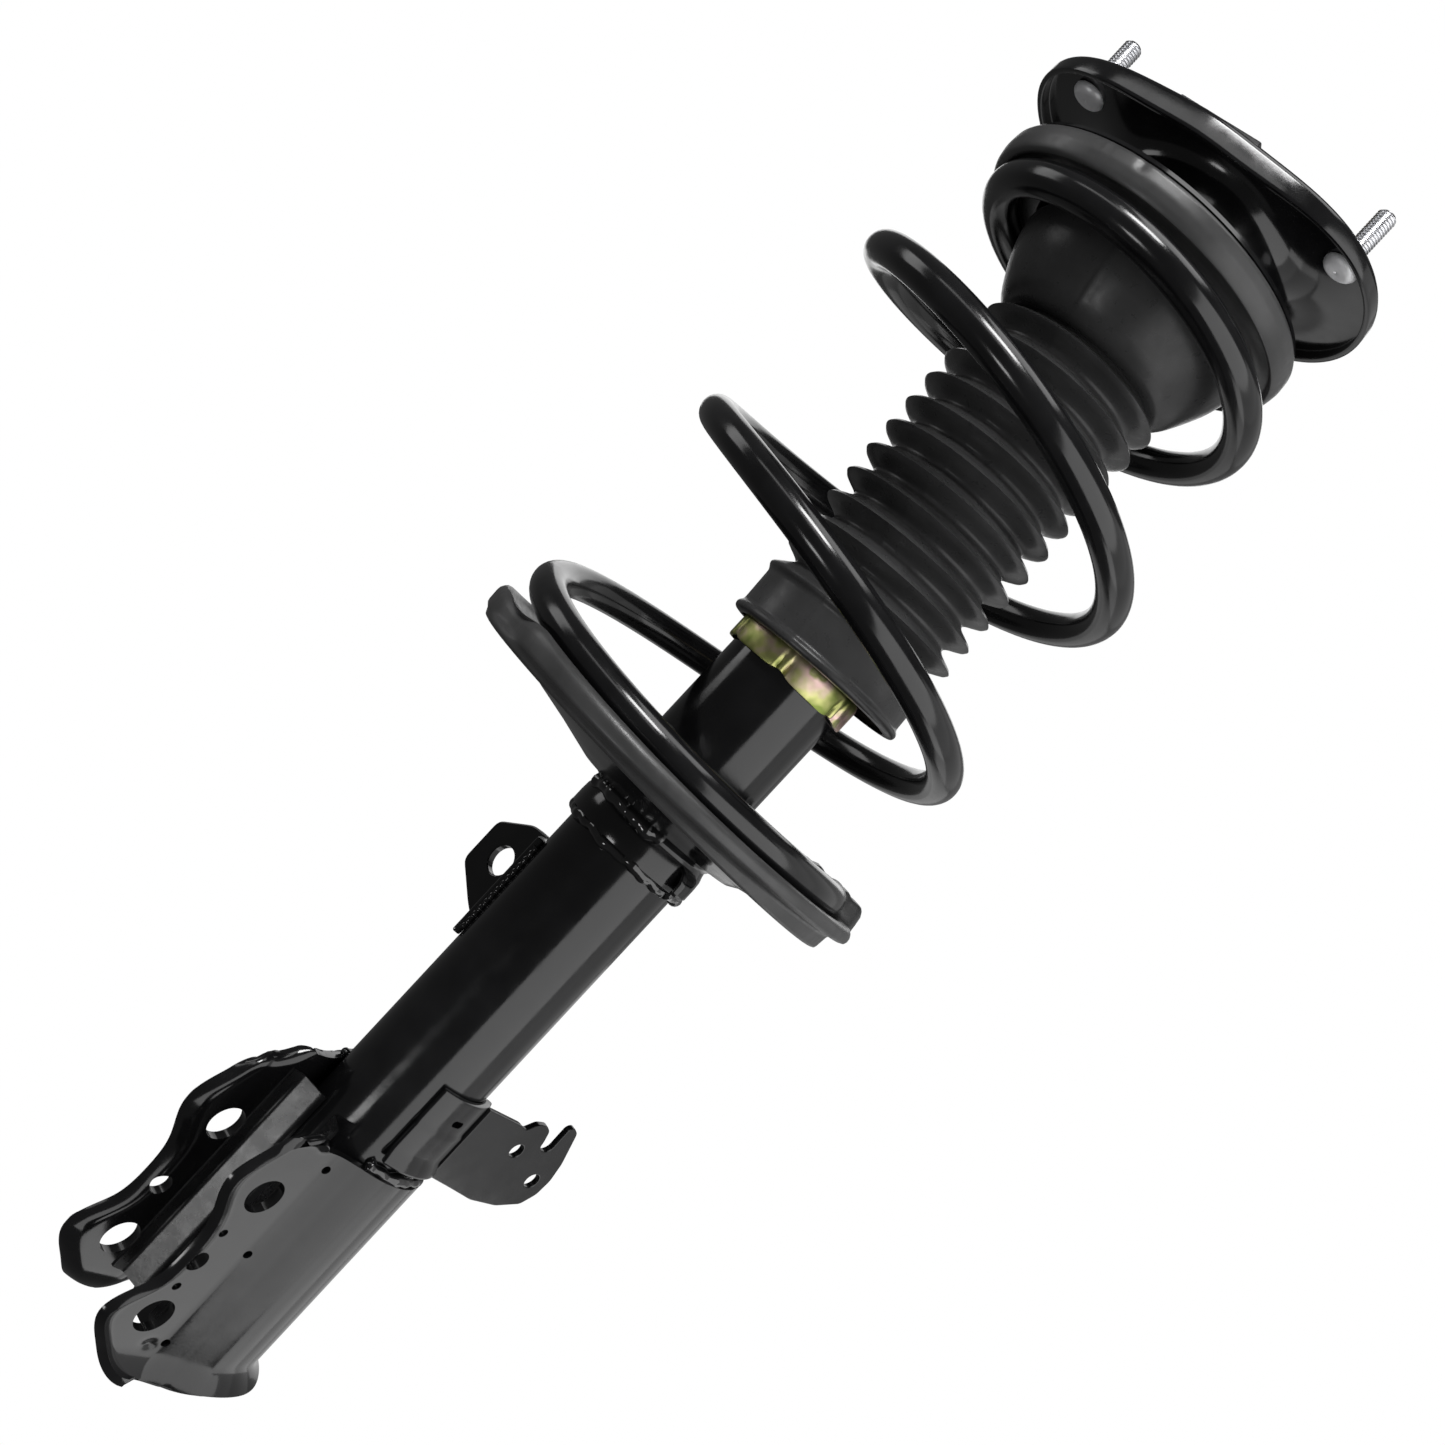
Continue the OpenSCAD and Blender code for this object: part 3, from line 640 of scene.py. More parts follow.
def plate_section(angle):
    """Middle line of the plate from its rim to the cup's hole, as (radius, z, share of the offset)."""
    half = PLATE_T / 2
    rim_corner = 1.7
    cup_corner = 3.0
    edge = plate_r(angle) - half
    wall = CUP_R - half
    floor_z = CUP_END + half
    fillet = 0.78 * (edge - CUP_R)
    drop = 7 + 0.36 * fillet
    rim_end = RIM_END - RIM_DEEPER * flat_share(angle)
    line = [(edge, rim_end, 1.0), (edge, rim_end + 1.5, 1.0), (edge, -half - rim_corner, 1.0)]
    for turn in quarter(6)[1:]:
        r = edge - rim_corner * (1 - math.cos(turn))
        line.append((r, -half - rim_corner * (1 - math.sin(turn)), 1.0))
    line.append(((edge - rim_corner + wall + fillet) / 2, -half, 1.0))
    for turn in quarter(12):
        r = wall + fillet * (1 - math.sin(turn))
        line.append((r, -half - drop * (1 - math.cos(turn)), 1 - turn / (math.pi / 2)))
    line.append((wall, (floor_z - drop) / 2, 0.0))
    for turn in quarter(6):
        r = wall - cup_corner * (1 - math.cos(turn))
        line.append((r, floor_z + cup_corner * (1 - math.sin(turn)), 0.0))
    line.append((CUP_HOLE_R + half, floor_z, 0.0))
    return line


def build_mount_plate():
    rows = turned(lambda a: [polar(r, a, z, UPPER_OFFSET * s) for r, z, s in plate_section(a)], 216)
    cutters = [drill_mesh((x, y, -6), (x, y, 3), r - 0.1) for x, y, _, r in STUDS]
    mesh = sheet_mesh("mount_plate_pressing", rows, PLATE_T, wrap_rows=True, cutters=cutters, bevel=0.4)
    obj = place(mesh, "mount_plate_pressing", BLACK, "mount")
    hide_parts("mount_plate")


def build_locating_pad():
    """Small raised pad on the flattened side."""
    outer = PLATE_R - PLATE_FLAT - 6
    inner = outer - 9.5
    half_w = 18.0
    outline = rounded([(inner, -half_w), (outer, -half_w), (outer, half_w), (inner, half_w)], 1.0)

    def to_strut(x, y, z):
        return polar(math.hypot(x, y), FLAT_DIR + math.atan2(y, x), z + 1.2, UPPER_OFFSET)

    mesh = plate_mesh("locating_pad", outline, [], 2.6, to_strut)
    place(mesh, "locating_pad", BLACK, "mount", 12)


def thread_mesh(name, radius, low, high):
    """A threaded shank with a chamfered tip. Its first millimetre is plain."""
    pitch = 1.25
    depth = 0.85
    segments = 40
    steps = int((high - low) / pitch * 10)
    chamfer = 1.2
    verts = []
    for i in range(steps + 1):
        z = low + (high - low) * i / steps
        for j in range(segments):
            phase = ((z - low) / pitch - j / segments) % 1.0
            groove = depth * ease(1 - abs(2 * phase - 1) * 1.2)
            tip = max(0.0, chamfer - (high - z)) * 0.9
            r = min(radius - groove, radius - tip) if z > low + 1 else radius - 0.3
            verts.append((r * math.cos(TAU * j / segments), r * math.sin(TAU * j / segments), z))
    return make_mesh(name, verts, capped_faces(steps + 1, segments))


def build_studs():
    head_r = 7.0
    head_h = 4.0
    under = -PLATE_T
    profile = rounded([(0.02, under), (head_r, under), (head_r, under - head_h * 0.55),
                       (head_r - 1.8, under - head_h), (0.02, under - head_h)], 1.3, 4)
    for number, (x, y, _, r) in enumerate(STUDS, 1):
        centre = Vector((x, y, 0)) * MM
        shank = thread_mesh(f"stud_thread_{number}", r, under, STUD_TOP)
        head = lathe_mesh(f"stud_head_{number}", profile, 48)
        for mesh in (shank, head):
            mesh.transform(Matrix.Translation(centre))
        thread = place(shank, f"stud_thread_{number}", ZINC, "mount", 50)
        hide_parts("mount_studs")
        place(head, f"stud_head_{number}", HEAD_ZINC, "mount", 50)


def build_upper_seat():
    """Pressed seat: bearing well, wall, flange and a rolled edge."""
    half = 1.0
    flange_r = 69.7 - half
    well_r = 46.0
    flange = FLANGE_TOP - half
    disc = SEAT_DISC - half
    well = [(17, disc, 0.0), (30, disc, 0.0), (well_r - 2.5, disc, 0.0), (well_r - 0.7, disc + 0.8, 0.0),
            (well_r, disc + 2.5, 0.0), (well_r, flange - 2.5, 0.0), (well_r + 0.7, flange - 0.8, 0.2)]
    brim = [(well_r + 2.5, flange, 0.4), (56, flange, 0.8), (66, flange, 1.0),
            (flange_r - 1, flange + 0.1, 1.0), (flange_r - 0.2, flange + 0.5, 1.0)]
    rows = turned(lambda a: [polar(r, a, z, FLANGE_OFFSET * s) for r, z, s in well + brim], 192)
    mesh = sheet_mesh("upper_seat_pressing", rows, 2 * half, wrap_rows=True, bevel=0.6)
    obj = place(mesh, "upper_seat_pressing", BLACK, "upper_seat")
    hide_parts("upper_spring_seat")


def build_upper_insulator():
    """Rubber ring under the flange: a shallow bed for the end coil, one notch and two mould lines."""
    top = top_of("upper_insulator")
    end = end_of("upper_insulator")
    shift = FLANGE_OFFSET - UPPER_OFFSET
    notch_at = SIDE - math.radians(113)
    notch_width = math.radians(1.2)
    lines = [SIDE - math.radians(d) for d in (124, 128)]
    line_width = math.radians(0.5)
    bed_half = 6.5

    def ring(angle):
        lean = math.cos(angle - SIDE)
        outer = 70.5 - shift * lean
        inner = 53.2 + UPPER_OFFSET * lean
        bed = min(END_COIL_R + bed_half, outer - 2)
        bed_in = max(END_COIL_R - bed_half, inner + 1.2)
        line = sum(0.3 * bell(angle_from(angle, m), line_width) for m in lines)
        lip = line + 0.7 * bell(angle_from(angle, notch_at), notch_width)
        profile = [(inner, top), (outer - 1.6, top), (outer - 0.2 - lip, top - 1.0), (outer - lip, top - 3.2),
                   (outer + 0.2 - line, top - 6.0), (outer - 0.4 - line, end + 2.4), (outer - 1.4, end + 0.4),
                   (bed, end), (bed - 1.6, end + 1.6), (END_COIL_R, end + 2.7), (bed_in + 1.6, end + 1.6),
                   (bed_in, end), (inner, end)]
        return [polar(r, angle, z, UPPER_OFFSET) for r, z in rounded(profile, 1.0, 3)]

    mesh = ring_mesh("upper_insulator_rubber", ring, 300)
    obj = place(mesh, "upper_insulator_rubber", RUBBER, "upper_seat", 45)
    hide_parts("upper_insulator")


# -------------------- lower spring seat

SEAT_PLANE = -305.5
DISH_R = 88.0


def build_lower_dish():
    """Pressed dish: collar round the tube, neck, leaning cone and a rim folded down."""
    half = 1.2
    neck_r = TUBE_R + half + 0.1
    collar_r = COLLAR_R - half
    rim_r = DISH_R - half
    collar = [(collar_r, SEAT_END), (collar_r, SEAT_END + 5), (collar_r - 0.2, SEAT_END + 8.5),
              (neck_r + 0.3, SEAT_END + 11), (neck_r, SEAT_END + 13), (neck_r + 1.4, SEAT_END + 15),
              (neck_r + 5.0, SEAT_END + 16.6)]
    dish = [(38, -13.8), (48, -10.3), (58, -7.8), (68, -5.2), (78, -2.6), (85, -1.4), (rim_r - 1, -1.9),
            (rim_r, -3.2), (rim_r, -5.2)]
    lean_from = 36.0
    lean_all = 60.0

    def section(angle):
        row = [polar(r, angle, z) for r, z in collar]
        for r, z in dish:
            share = ease((r - lean_from) / (lean_all - lean_from))
            fall = r * math.cos(angle - SIDE) * math.tan(SEAT_TILT) * share
            row.append(polar(r, angle, SEAT_PLANE + z - fall, LOWER_OFFSET * share))
        return row

    mesh = sheet_mesh("lower_seat_dish", turned(section, 192), 2 * half, wrap_rows=True, bevel=0.6)
    obj = place(mesh, "lower_seat_dish", BLACK, "strut", 50)
    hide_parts("lower_spring_seat")


def build_seat_lug():
    """Small folded lug on the collar: a curled lip with a hollow below it."""
    high = SEAT_END + 9.5
    half_w = 4.6
    steps = 10
    rows = []
    for i in range(steps + 1):
        v = 2 * i / steps - 1
        y = half_w * v
        bulge = 1 - 0.35 * v ** 4
        front = COLLAR_R + 4 * bulge
        rows.append([(COLLAR_R - 0.8, y, high + 1.0), (COLLAR_R + 1.4, y * 0.98, high),
                     (COLLAR_R - 0.5 + 3.6 * bulge, y * 0.94, high - 1.2), (front, y * 0.9, high - 4.0),
                     (front, y * 0.86, SEAT_END + 2.2), (front - 0.6, y * 0.8, SEAT_END + 0.6)])
    mesh = sheet_mesh("seat_lug_fold", rows, 1.6, bevel=0.4)
    obj = place(mesh, "seat_lug_fold", BLACK, "strut", 50)
    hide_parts("seat_lug")


def build_lower_pad():
    """Rubber pad: its bed climbs with the wire, a skirt laps the dish and a cap holds the wire's end."""
    inner_r = 66.0
    skirt_r = DISH_R + 1.8
    skirt_top = -306.8
    cap_top = -292.0
    rise_max = 7.0

    def ring(angle):
        """The section where the wire has made t of its first turn."""
        t = ((SIDE - angle) / TAU) % 1.0
        lean = math.cos(angle - SIDE)
        cap = ease((t - 0.948) / 0.02) * ease((0.999 - t) / 0.012)
        climb = min(coil_rise(t), rise_max) * (1 - ease((t - 0.62) / 0.3))
        pinch = bell(t - 0.41, 0.026)
        tab = bell(t - 0.5, 0.035)
        out = 94.5 + 3 * lean - 4.2 * pinch + 1.4 * tab
        foot = SEAT_PLANE + 0.2 - DISH_R * lean * math.tan(SEAT_TILT)
        under = skirt_top + 3.5 * ease(-lean)

        def capped(z):
            return z + (cap_top - z) * cap

        bed = COIL_START - WIRE_R - 0.3 + climb
        floor_z = capped(bed)
        lip = capped(bed + 4.0 - 2.0 * pinch + 0.8 * tab)
        inner_lip = capped(bed + 2)
        skirt = [(inner_r, foot - 1.5), (skirt_r - 3, foot), (skirt_r - 1.6, foot - 1),
                 (skirt_r - 1.5, foot - 5.4), (skirt_r, foot - 5.6), (skirt_r + 0.8, under - 0.8)]
        wall_line = [(out - 0.2, under + 0.4), (out, lip - 2.6), (out - 2.0, lip), (COIL_R + 8.9, lip - 0.1)]
        bed_line = [(COIL_R + 7.1, floor_z + 1.2), (COIL_R + 4.5, floor_z - 0.1), (COIL_R, floor_z - 0.3),
                    (COIL_R - 4.5, floor_z), (COIL_R - 8, floor_z + 1.3), (COIL_R - 10, inner_lip),
                    (inner_r, inner_lip)]
        line = rounded(skirt + wall_line + bed_line, 1.4, 2)
        return [polar(r, angle, z, LOWER_OFFSET) for r, z in line]

    mesh = ring_mesh("lower_insulator_rubber", ring, 360)
    obj = place(mesh, "lower_insulator_rubber", RUBBER, "strut", 50)
    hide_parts("lower_insulator")


def weld_bead(name, radius, z, start, sweep, size):
    """A lumpy bead of weld round the tube, thinner at its two ends."""
    points_per_mm = 2.2
    count = int(radius * sweep * points_per_mm)
    path = []
    for k in range(count + 1):
        angle = start + sweep * k / count
        drift = 0.5 * math.sin(7 * angle) + 0.35 * math.sin(17 * angle + 1) + 0.12 * math.sin(31 * angle)
        path.append(polar(radius + 0.3 * drift, angle, z + 0.8 * drift))

    def ripple(k):
        fade = min(1.0, (k + 1) / 4, (count + 1 - k) / 4)
        return size * fade * (1 + 0.07 * math.sin(k * 0.45) + 0.14 * math.sin(k * 0.17 + 2))

    mesh = tube_mesh(name, path, ripple, 16)
    return place(mesh, name, WELD, "strut", 80)


def build_welds():
    bead = weld_bead("seat_weld_bead", TUBE_R + 1.0, SEAT_END - 1.2, 0, TAU * 0.999, 2.6)
    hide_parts("seat_weld")
    weld_bead("seat_hub_weld", TUBE_R + 2.2, SEAT_END + 13.0, math.radians(-120), math.radians(85), 3.4)
    bead = weld_bead("bracket_weld_bead", TUBE_R + 1.4, BRACKET_TOP + 1.4, math.radians(-34),
                     math.radians(92), 2.5)
    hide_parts("bracket_weld")
    weld_bead("bracket_far_weld", TUBE_R + 1.4, FAR_TOP + 1.2, math.radians(118), math.radians(96), 2.3)


# -------------------- bump cap on the tube

def build_bump_cap():
    """Pressed cap with crimps and a scalloped lower edge."""
    top = top_of("bump_cap")
    end = end_of("bump_cap")
    wall = 1.2
    hole_r = 13.0
    crimps = 6
    crimp_half = 0.07
    crimp_width = 0.03
    scallop_width = 0.14

    def ring(angle):
        """The section. Each crimp is a pair of grooves with a scallop in the edge between them."""
        d = angle_from(angle * crimps, 0) / crimps
        groove = 1.4 * (bell(d - crimp_half, crimp_width) + bell(d + crimp_half, crimp_width))
        low = end + 1.4 * bell(d, scallop_width)
        side_r = CAP_R - groove
        side = [(CAP_R - 0.7, top - 0.7), (CAP_R, top - 2.4), (CAP_R - 0.35 * groove, top - 5),
                (side_r, top - 8), (side_r, low + 1.0), (side_r - 0.3, low + 0.2)]
        outer = [(hole_r, top), (CAP_R - 2.4, top)] + side
        inner = [(hole_r, top - wall), (CAP_R - 2.4, top - wall)] + [(r - wall, z) for r, z in side]
        return [polar(r, angle, z) for r, z in outer + inner[::-1]]

    mesh = ring_mesh("bump_cap_pressing", ring, 288)
    obj = place(mesh, "bump_cap_pressing", YELLOW, "strut", 50)
    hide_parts("bump_cap")


# -------------------- knuckle bracket

EAR_OUT = 21.0
EAR_T = 4.0
EAR_MID = EAR_OUT - EAR_T / 2
EAR_START = -30.0
EAR_REACH = 53.0
EAR_COLUMNS = 26
WRAP_MID = TUBE_R + EAR_T / 2 + 0.05
WRAP_STOP = math.radians(8)
WRAP_END = BRACKET_END + 6
LIP_W = 6.5
LIP_OUT = 2.4
FOOT_H = 12.0
FOOT_OUT = 4.4
FOOT_MORE = 2.6

# The smaller holes in the ears, as (y, z)
GAUGE_HOLE = (-46, -543.6)
GAUGE_R = 4.25
PILOT_HOLES = [(-28, -494), (-46, -530), (-28, -536), (-45, -555.5), (-28, -580)]
PILOT_R = 1.75


def ear_reach(z):
    """How far an ear stands out at a height, without its corners: more beside each bolt."""
    heights = [hole[2] for hole in BOLT_HOLES]
    return EAR_REACH + 10 * bell(z - max(heights) - 3.5, 15) + 12 * bell(z - min(heights) + 1.5, 12)


def corner_cut(d, r):
    """How far a rounded corner of radius r comes in at a distance d from its end."""
    return 0.0 if d >= r else r - math.sqrt(max(0.0, r * r - (r - d) ** 2))


def bracket_section():
    """Half of the bracket's middle line, from behind the tube to the ear: (x, y), its normal, its share.

    The share runs from 0 at the back to 1 where the flat ear starts.
    """
    wrap_steps = 32
    fold_steps = 18
    points = []
    for k in range(wrap_steps + 1):
        angle = math.pi / 2 - (math.pi / 2 + WRAP_STOP) * k / wrap_steps
        points.append((WRAP_MID * math.cos(angle), WRAP_MID * math.sin(angle)))
    x0, y0 = points[-1]
    for k in range(1, fold_steps + 1):
        u = k / fold_steps
        crease = 0.3 * bell(u - 0.5, 0.05)
        points.append((x0 + (EAR_MID - x0) * ease(u) - crease, y0 + (EAR_START - y0) * u))
    section = []
    for k, (x, y) in enumerate(points):
        before = points[max(k - 1, 0)]
        after = points[min(k + 1, len(points) - 1)]
        normal = Vector((-(after[1] - before[1]), after[0] - before[0])).normalized()
        section.append(((x, y), normal, k / (len(points) - 1)))
    return section


def bracket_top(side, share, v):
    """Height of the top edge. share runs round the wrap, and v from the ear's root to its free edge."""
    if side > 0:
        return BRACKET_TOP + 4 * bell(v - 0.5, 0.28) * ease(v * 4)
    rise = FAR_TOP - BRACKET_TOP
    wrap = rise * ease((share - 0.08) / 0.25)
    ear = (rise - 6) * ease(v / 0.75) + 6 * ease(v * 4 - 3)
    return BRACKET_TOP + wrap - ear


def bracket_place(side, share, v, u):
    """The height u of the way down the bracket, and how far the foot flares out there."""
    top = bracket_top(side, share, v)
    end = WRAP_END + (BRACKET_END - WRAP_END) * ease((share - 0.45) / 0.55)
    z = top + (end - top) * u
    flare = FOOT_OUT + FOOT_MORE * (1 - ease((share - 0.3) / 0.4))
    return z, flare * max(0.0, 1 - (z - end) / FOOT_H) ** 2.4


def ear_point(side, v, u):
    """A point of an ear's middle, v of the way out and u of the way down. A lip is folded along its edge."""
    z, foot = bracket_place(side, 1.0, v, u)
    height = BRACKET_TOP - BRACKET_END
    level = BRACKET_TOP - height * u
    reach = ear_reach(level) - corner_cut(height * u, 6) - corner_cut(level - BRACKET_END, 18) - 0.6
    y = EAR_START - (reach + EAR_START) * v
    to_top = (bracket_top(side, 1.0, v) - z) * 1.1 + 1.0 + LIP_W * (1 - ease(v / 0.35))
    edge = min(reach + y, to_top)
    curl = LIP_OUT * max(0.0, 1 - edge / LIP_W) ** 2 * (1.5 if side < 0 else 1.0)
    dent = 0.9 * bell(y + 34, 3) * bell(z + 582, 2.2) if side > 0 else 0.0
    return (side * (EAR_MID + foot + curl - dent), y, z)


def bracket_row(section, u):
    """Points from the far ear's free edge, round the back of the tube, to the near ear's free edge."""
    halves = {}
    for side in (-1, 1):
        half = []
        for (x, y), normal, share in section:
            z, foot = bracket_place(side, share, 0.0, u)
            half.append((side * (x + normal.x * foot), y + normal.y * foot, z))
        half += [ear_point(side, k / EAR_COLUMNS, u) for k in range(1, EAR_COLUMNS + 1)]
        halves[side] = half
    return halves[-1][::-1] + halves[1][1:]


def ear_cutters():
    """Bolt and gauge holes go through both ears, and pilot holes through the near one."""
    cutters = [drill_mesh((-EAR_OUT - 6, y, z), (EAR_OUT + 6, y, z), r) for _, y, z, r in BOLT_HOLES]
    near = [(*GAUGE_HOLE, GAUGE_R)] + [(y, z, PILOT_R) for y, z in PILOT_HOLES]
    cutters += [drill_mesh((EAR_OUT - 8, y, z), (EAR_OUT + 5, y, z), r) for y, z, r in near]
    y, z = GAUGE_HOLE
    cutters.append(drill_mesh((-EAR_OUT - 5, y, z), (-EAR_OUT + 8, y, z), GAUGE_R))
    return cutters


def build_knuckle_bracket():
    """The folded bracket. Its rows are closer together towards both ends."""
    section = bracket_section()
    steps = 96
    rows = []
    for i in range(steps + 1):
        even = i / steps
        crowded = 0.5 - 0.5 * math.cos(math.pi * even)
        rows.append(bracket_row(section, 0.1 * even + 0.9 * crowded))
    mesh = sheet_mesh("knuckle_bracket_pressing", rows, EAR_T, cutters=ear_cutters(), bevel=1.0)
    obj = place(mesh, "knuckle_bracket_pressing", BLACK, "strut", 40)
    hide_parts("knuckle_bracket")


def build_channel_webs():
    """Inside the channel, the sloping web that joins each ear's root to the tube."""
    ear_face = EAR_OUT - EAR_T
    tube_x = 0.18 * TUBE_R
    tube_y = -math.sqrt(TUBE_R ** 2 - tube_x ** 2)
    web = [(ear_face - 0.2, EAR_START - 6), (ear_face - 1.4, EAR_START - 1.3), (5.8, EAR_START + 2.9),
           (tube_x, tube_y - 0.4)]
    top = BRACKET_TOP + 6
    end = BRACKET_END + 14
    steps = 39
    for side, name in ((-1, "far"), (1, "near")):
        rows = []
        for i in range(steps + 1):
            z = top + (end - top) * i / steps
            rows.append([(side * x, y, z) for x, y in rounded(web, 1.6, 5, closed=False)])
        mesh = sheet_mesh(f"channel_web_{name}", rows, 1.0, bevel=0.0)
        place(mesh, f"channel_web_{name}", CHANNEL, "strut", 60)


# -------------------- brackets on the tube

def saddle_rows(start, sweep, top, end, radius, flare):
    """A curved strip against the tube. flare(u) says how far it stands off, u of the way down."""
    rows = []
    steps = 30
    columns = 24
    for i in range(steps + 1):
        u = i / steps
        z = top + (end - top) * u
        rows.append([polar(radius + flare(u), start + sweep * k / columns, z) for k in range(columns + 1)])
    return rows


def build_link_tab():
    """The ear for the sway bar's link, with the strip behind it and the weld beside it."""
    top = top_of("link_tab")
    end = end_of("link_tab")
    x, _, z, r = LINK_HOLE
    outline = rounded([(-26, top - 0.3), (-42.5, top - 2), (-58.9, top - 12), (-58.9, top - 33),
                       (-41, top - 43), (-26, end + 0.5)], 3.0)
    mesh = plate_mesh("link_tab_ear", outline, [(x, z, r)], 4.0, lambda x, y, z: (x, -z, y), 0.6)
    obj = place(mesh, "link_tab_ear", BLACK, "strut", 12)
    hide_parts("link_tab")
    rows = saddle_rows(math.radians(180), math.radians(45), top - 0.5, end + 0.5, TUBE_R + 1.8,
                       lambda u: 0.0)
    mesh = sheet_mesh("link_tab_strip", rows, 3.4, bevel=0.8)
    place(mesh, "link_tab_strip", BLACK, "strut")
    path = [polar(TUBE_R + 0.8, math.radians(225.5), height) for height in np.linspace(end + 4, top - 4, 50)]
    mesh = tube_mesh("link_tab_weld", path, lambda k: 1.5 + 0.3 * math.sin(k * 1.7), 12)
    place(mesh, "link_tab_weld", BLACK, "strut", 80)


HOOK_AT = (61.5, -450.5)
HOOK_R = 3.6


def arm_outline():
    """The flat arm as (y, z): its upper edge, the hook's open slot, then its tip and lower edge."""
    y, z = HOOK_AT
    turns = [math.radians(a) for a in range(190, 361, 17)]
    slot = [(y + HOOK_R * math.cos(a), z + HOOK_R * math.sin(a)) for a in turns]
    upper = [(16, -446), (38, -447), (42.5, -448.3), (46.7, -444), (51.8, -443), (55.6, -444.8),
             (y - HOOK_R - 0.3, z + 1.0)]
    tip = [(y + HOOK_R - 0.1, z + 4.0), (y + HOOK_R - 0.2, z + 9.5), (67.3, -439.2), (71.6, -441),
           (78.6, -456), (80.8, -465), (80, -473)]
    lower = [(75.6, -479.6), (63, -483.8), (47, -484.8), (30, -482.5), (16, -480.8)]
    return rounded(upper, 1.2, 3, closed=False) + slot + rounded(tip + lower, 1.5, 3, closed=False)


def build_hose_bracket():
    """The flat arm and the saddle that holds it. Three overlapping holes make the saddle's slot."""
    arm_x, y, z, r = HOSE_HOLE
    mesh = plate_mesh("hose_arm", arm_outline(), [(y, z, r), (70.5, -468, 3.5)], 2.8,
                      lambda x, y, z: (arm_x + z, x, y), 0.5)
    obj = place(mesh, "hose_arm", BLACK, "strut", 12)
    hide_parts("hose_bracket")
    rows = saddle_rows(math.radians(-28), math.radians(73), -445.3, -480.7, TUBE_R + 1.7,
                       lambda u: 0.5 * ease((u - 0.42) / 0.05) + 1.8 * ease((u - 0.8) / 0.2))
    cutters = [drill_mesh((20, y, -455), (34, y * 1.1, -455), 1.5) for y in (0.6, 2.0, 3.4)]
    mesh = sheet_mesh("hose_saddle", rows, 3.2, cutters=cutters, bevel=0.8)
    place(mesh, "hose_saddle", BLACK, "strut")


# -------------------- studio

AZIMUTH = math.radians(39.5)
ROLL = math.radians(42.9)
VIEW_RIGHT = Vector((math.cos(AZIMUTH), math.sin(AZIMUTH), 0.0))
VIEW_BACK = Vector((math.sin(AZIMUTH), -math.cos(AZIMUTH), 0.0))
UP = Vector((0, 0, 1))
MIDDLE = Vector((0, 0, -0.276))
CAMERA_AWAY = 0.6
CAMERA_LEFT = 0.0067
WALL_AWAY = 1.5
AMBIENT = 0.085
STUDIO_R = 6.0
FLOOR_GAP = 0.02


def build_camera():
    """Level with the strut's middle and rolled, as in the photo."""
    data = bpy.data.cameras.new("camera")
    data.lens = 38.6
    data.sensor_width = 36.0
    data.clip_end = 50.0
    camera = bpy.data.objects.new("camera", data)
    bpy.context.scene.collection.objects.link(camera)
    right = VIEW_RIGHT * math.cos(ROLL) + UP * math.sin(ROLL)
    up = VIEW_BACK.cross(right)
    axes = Matrix((right.to_4d(), up.to_4d(), VIEW_BACK.to_4d(), (0, 0, 0, 1)))
    camera.matrix_world = axes.transposed()
    camera.matrix_world.translation = MIDDLE + VIEW_BACK * CAMERA_AWAY - VIEW_RIGHT * CAMERA_LEFT
    bpy.context.scene.camera = camera


def area_light(name, size, radiance, place_at, facing):
    """A soft light whose back points along facing. radiance is what a mirror would show of it."""
    data = bpy.data.lights.new(name, "AREA")
    data.shape = "RECTANGLE"
    data.size, data.size_y = size
    data.energy = radiance * math.pi * size[0] * size[1]
    light = bpy.data.objects.new(name, data)
    bpy.context.scene.collection.objects.link(light)
    light.location = place_at
    light.rotation_euler = facing.to_track_quat("Z", "Y").to_euler()


def aside(degrees, rise=0.0):
    """A direction so many degrees to the right of the view, and so far up."""
    a = math.radians(degrees)
    return VIEW_BACK * math.cos(a) + VIEW_RIGHT * math.sin(a) + UP * rise


def panel(name, direction, distance, size, radiance):
    """A light that faces the strut's middle."""
    axis = direction.normalized()
    area_light(name, size, radiance, MIDDLE + axis * distance, axis)


def wall(name, start, end, low, high, radiance):
    """An upright light, from start to end in degrees right of the view and from low to high."""
    axis = aside((start + end) / 2)
    across = 2 * WALL_AWAY * math.tan(math.radians(end - start) / 2)
    area_light(name, (across, high - low), radiance, axis * WALL_AWAY + UP * (low + high) / 2, axis)


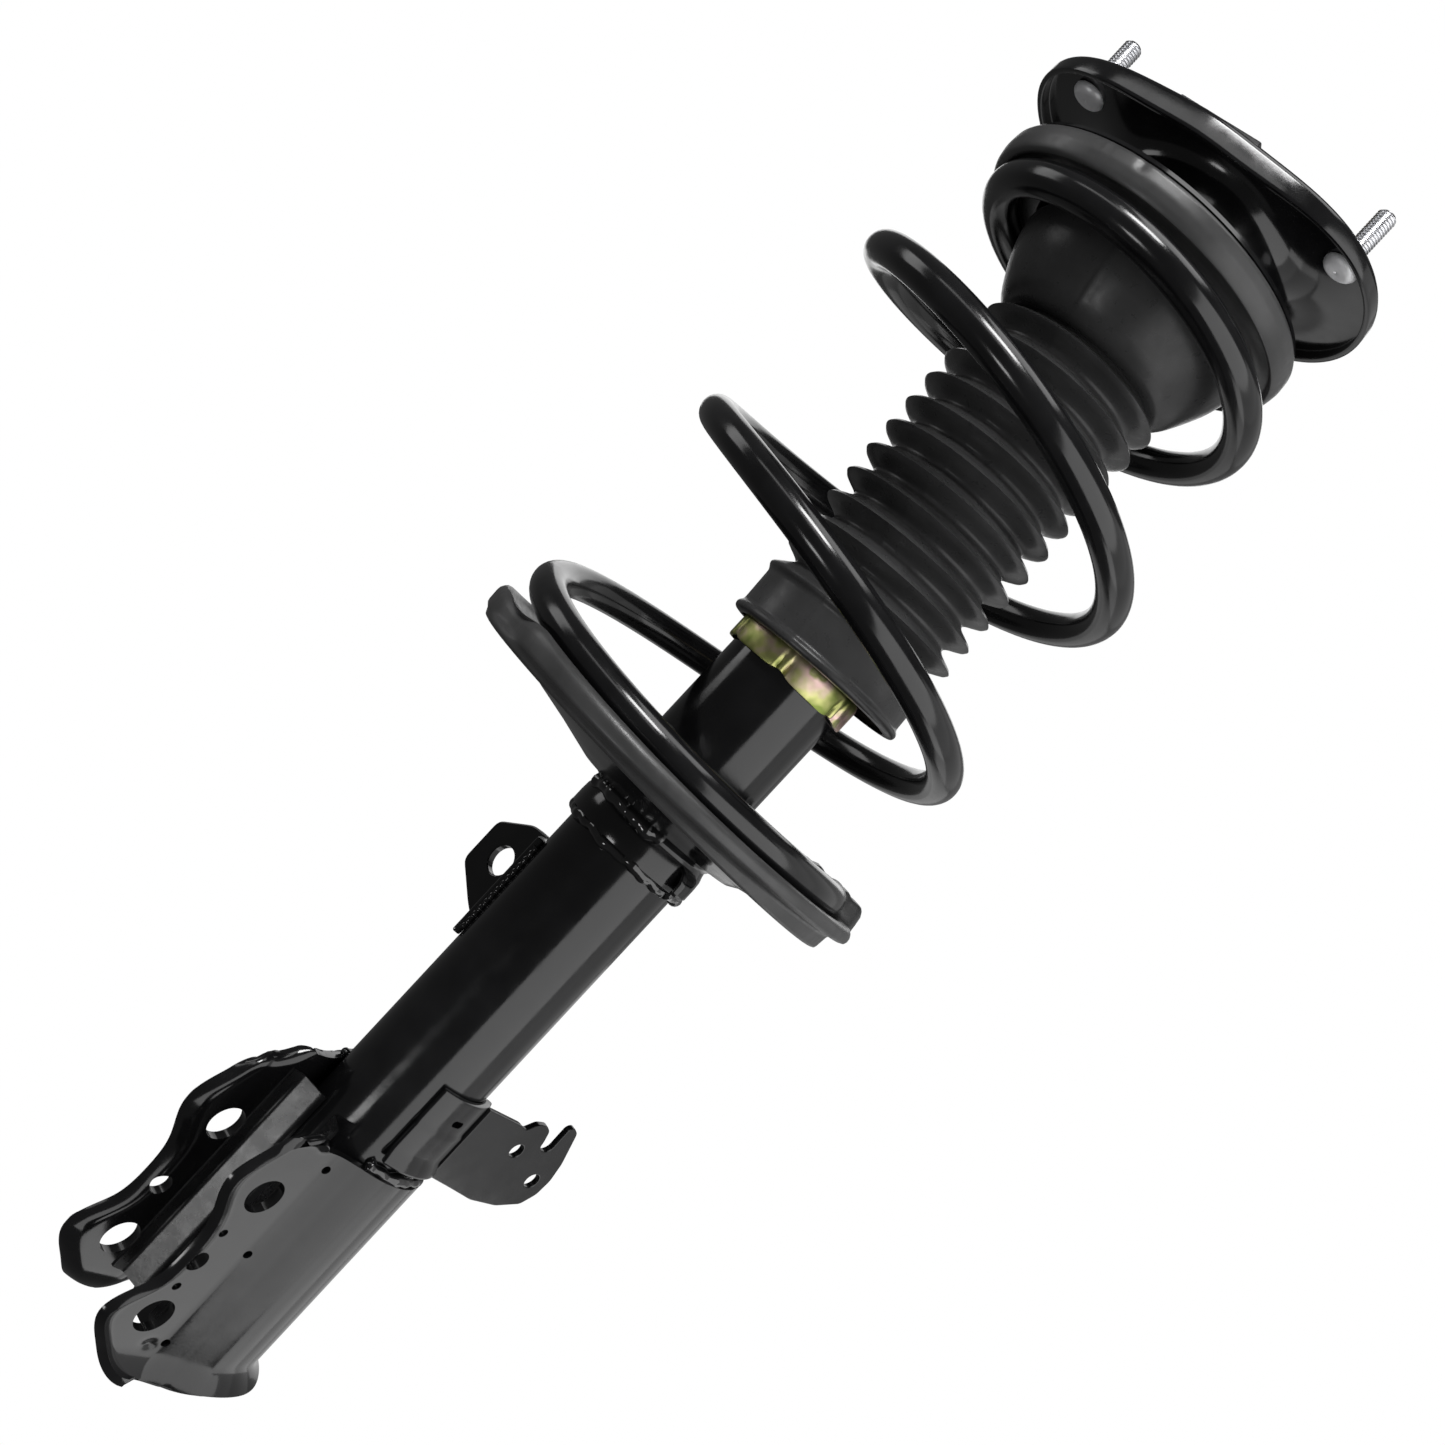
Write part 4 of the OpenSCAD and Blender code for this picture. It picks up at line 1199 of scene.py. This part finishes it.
def build_lights():
    """Upright lights lay the paint's bands down the tube, and panels give the highlights on round shapes."""
    wall("band_light", 22.4, 82.4, -1.38, 0.82, 2.0)
    wall("side_light_high", 82.4, 106, -1.0, 1.1, 0.62)
    wall("side_light_low", 82.4, 112, -1.7, -1.0, 1.75)
    wall("far_side_light_high", 106, 140, -1.0, 1.1, 0.42)
    wall("far_side_light_low", 112, 140, -1.7, -1.0, 0.9)
    wall("back_side_light", 140, 172, -1.4, 0.8, 0.15)
    wall("low_front_light", -38, -24, -1.3, -0.965, 8.0)
    wall("rim_light", -75, -12, 0.62, 0.9, 1.9)
    panel("key_light", aside(-25, 1.1), 1.4, (0.5, 0.3), 26.0)
    panel("left_light", aside(-95, 0.3), 1.6, (0.5, 0.9), 2.0)
    panel("back_light", aside(180, 0.5), 1.8, (1.4, 1.2), 1.2)
    panel("low_back_light", aside(163, -0.5), 1.8, (1.2, 0.9), 0.38)
    panel("top_light", UP + VIEW_BACK * 0.3, 1.5, (0.8, 0.8), 3.0)


def glowing_white():
    material = bpy.data.materials.new("studio_white")
    material.use_nodes = True
    tree = material.node_tree
    tree.nodes.remove(tree.nodes["Principled BSDF"])
    glow = tree.nodes.new("ShaderNodeEmission")
    glow.inputs["Color"].default_value = (1, 1, 1, 1)
    glow.inputs["Strength"].default_value = 1.0
    tree.links.new(glow.outputs["Emission"], tree.nodes["Material Output"].inputs["Surface"])
    return material


def studio_piece(name, create, material, **shape):
    """A part of the studio that the camera sees and that lights and shades nothing."""
    bm = bmesh.new()
    create(bm, radius=STUDIO_R, **shape)
    mesh = bpy.data.meshes.new(name)
    bm.to_mesh(mesh)
    bm.free()
    obj = bpy.data.objects.new(name, mesh)
    bpy.context.scene.collection.objects.link(obj)
    obj.data.materials.append(material)
    obj.visible_diffuse = False
    obj.visible_glossy = False
    obj.visible_shadow = False
    obj.visible_transmission = False
    return obj


def build_surroundings():
    """A plain pale floor and backdrop, and a dim even light from all round."""
    world = bpy.data.worlds.new("studio")
    bpy.context.scene.world = world
    world.use_nodes = True
    background = world.node_tree.nodes["Background"]
    background.inputs["Color"].default_value = (1, 1, 1, 1)
    background.inputs["Strength"].default_value = AMBIENT
    white = glowing_white()
    floor = studio_piece("floor", bmesh.ops.create_circle, white, cap_ends=True, segments=96)
    floor.location = (0, 0, BRACKET_END * MM - FLOOR_GAP)
    backdrop = studio_piece("backdrop", bmesh.ops.create_uvsphere, white, u_segments=64, v_segments=32)


build_camera()
build_coil()
build_boot()
build_bump_stop()
build_mount_plate()
build_locating_pad()
build_studs()
build_upper_seat()
build_upper_insulator()
build_lower_dish()
build_seat_lug()
build_lower_pad()
build_welds()
build_bump_cap()
build_knuckle_bracket()
build_channel_webs()
build_link_tab()
build_hose_bracket()
build_lights()
build_surroundings()
bpy.context.scene.view_settings.view_transform = "Standard"
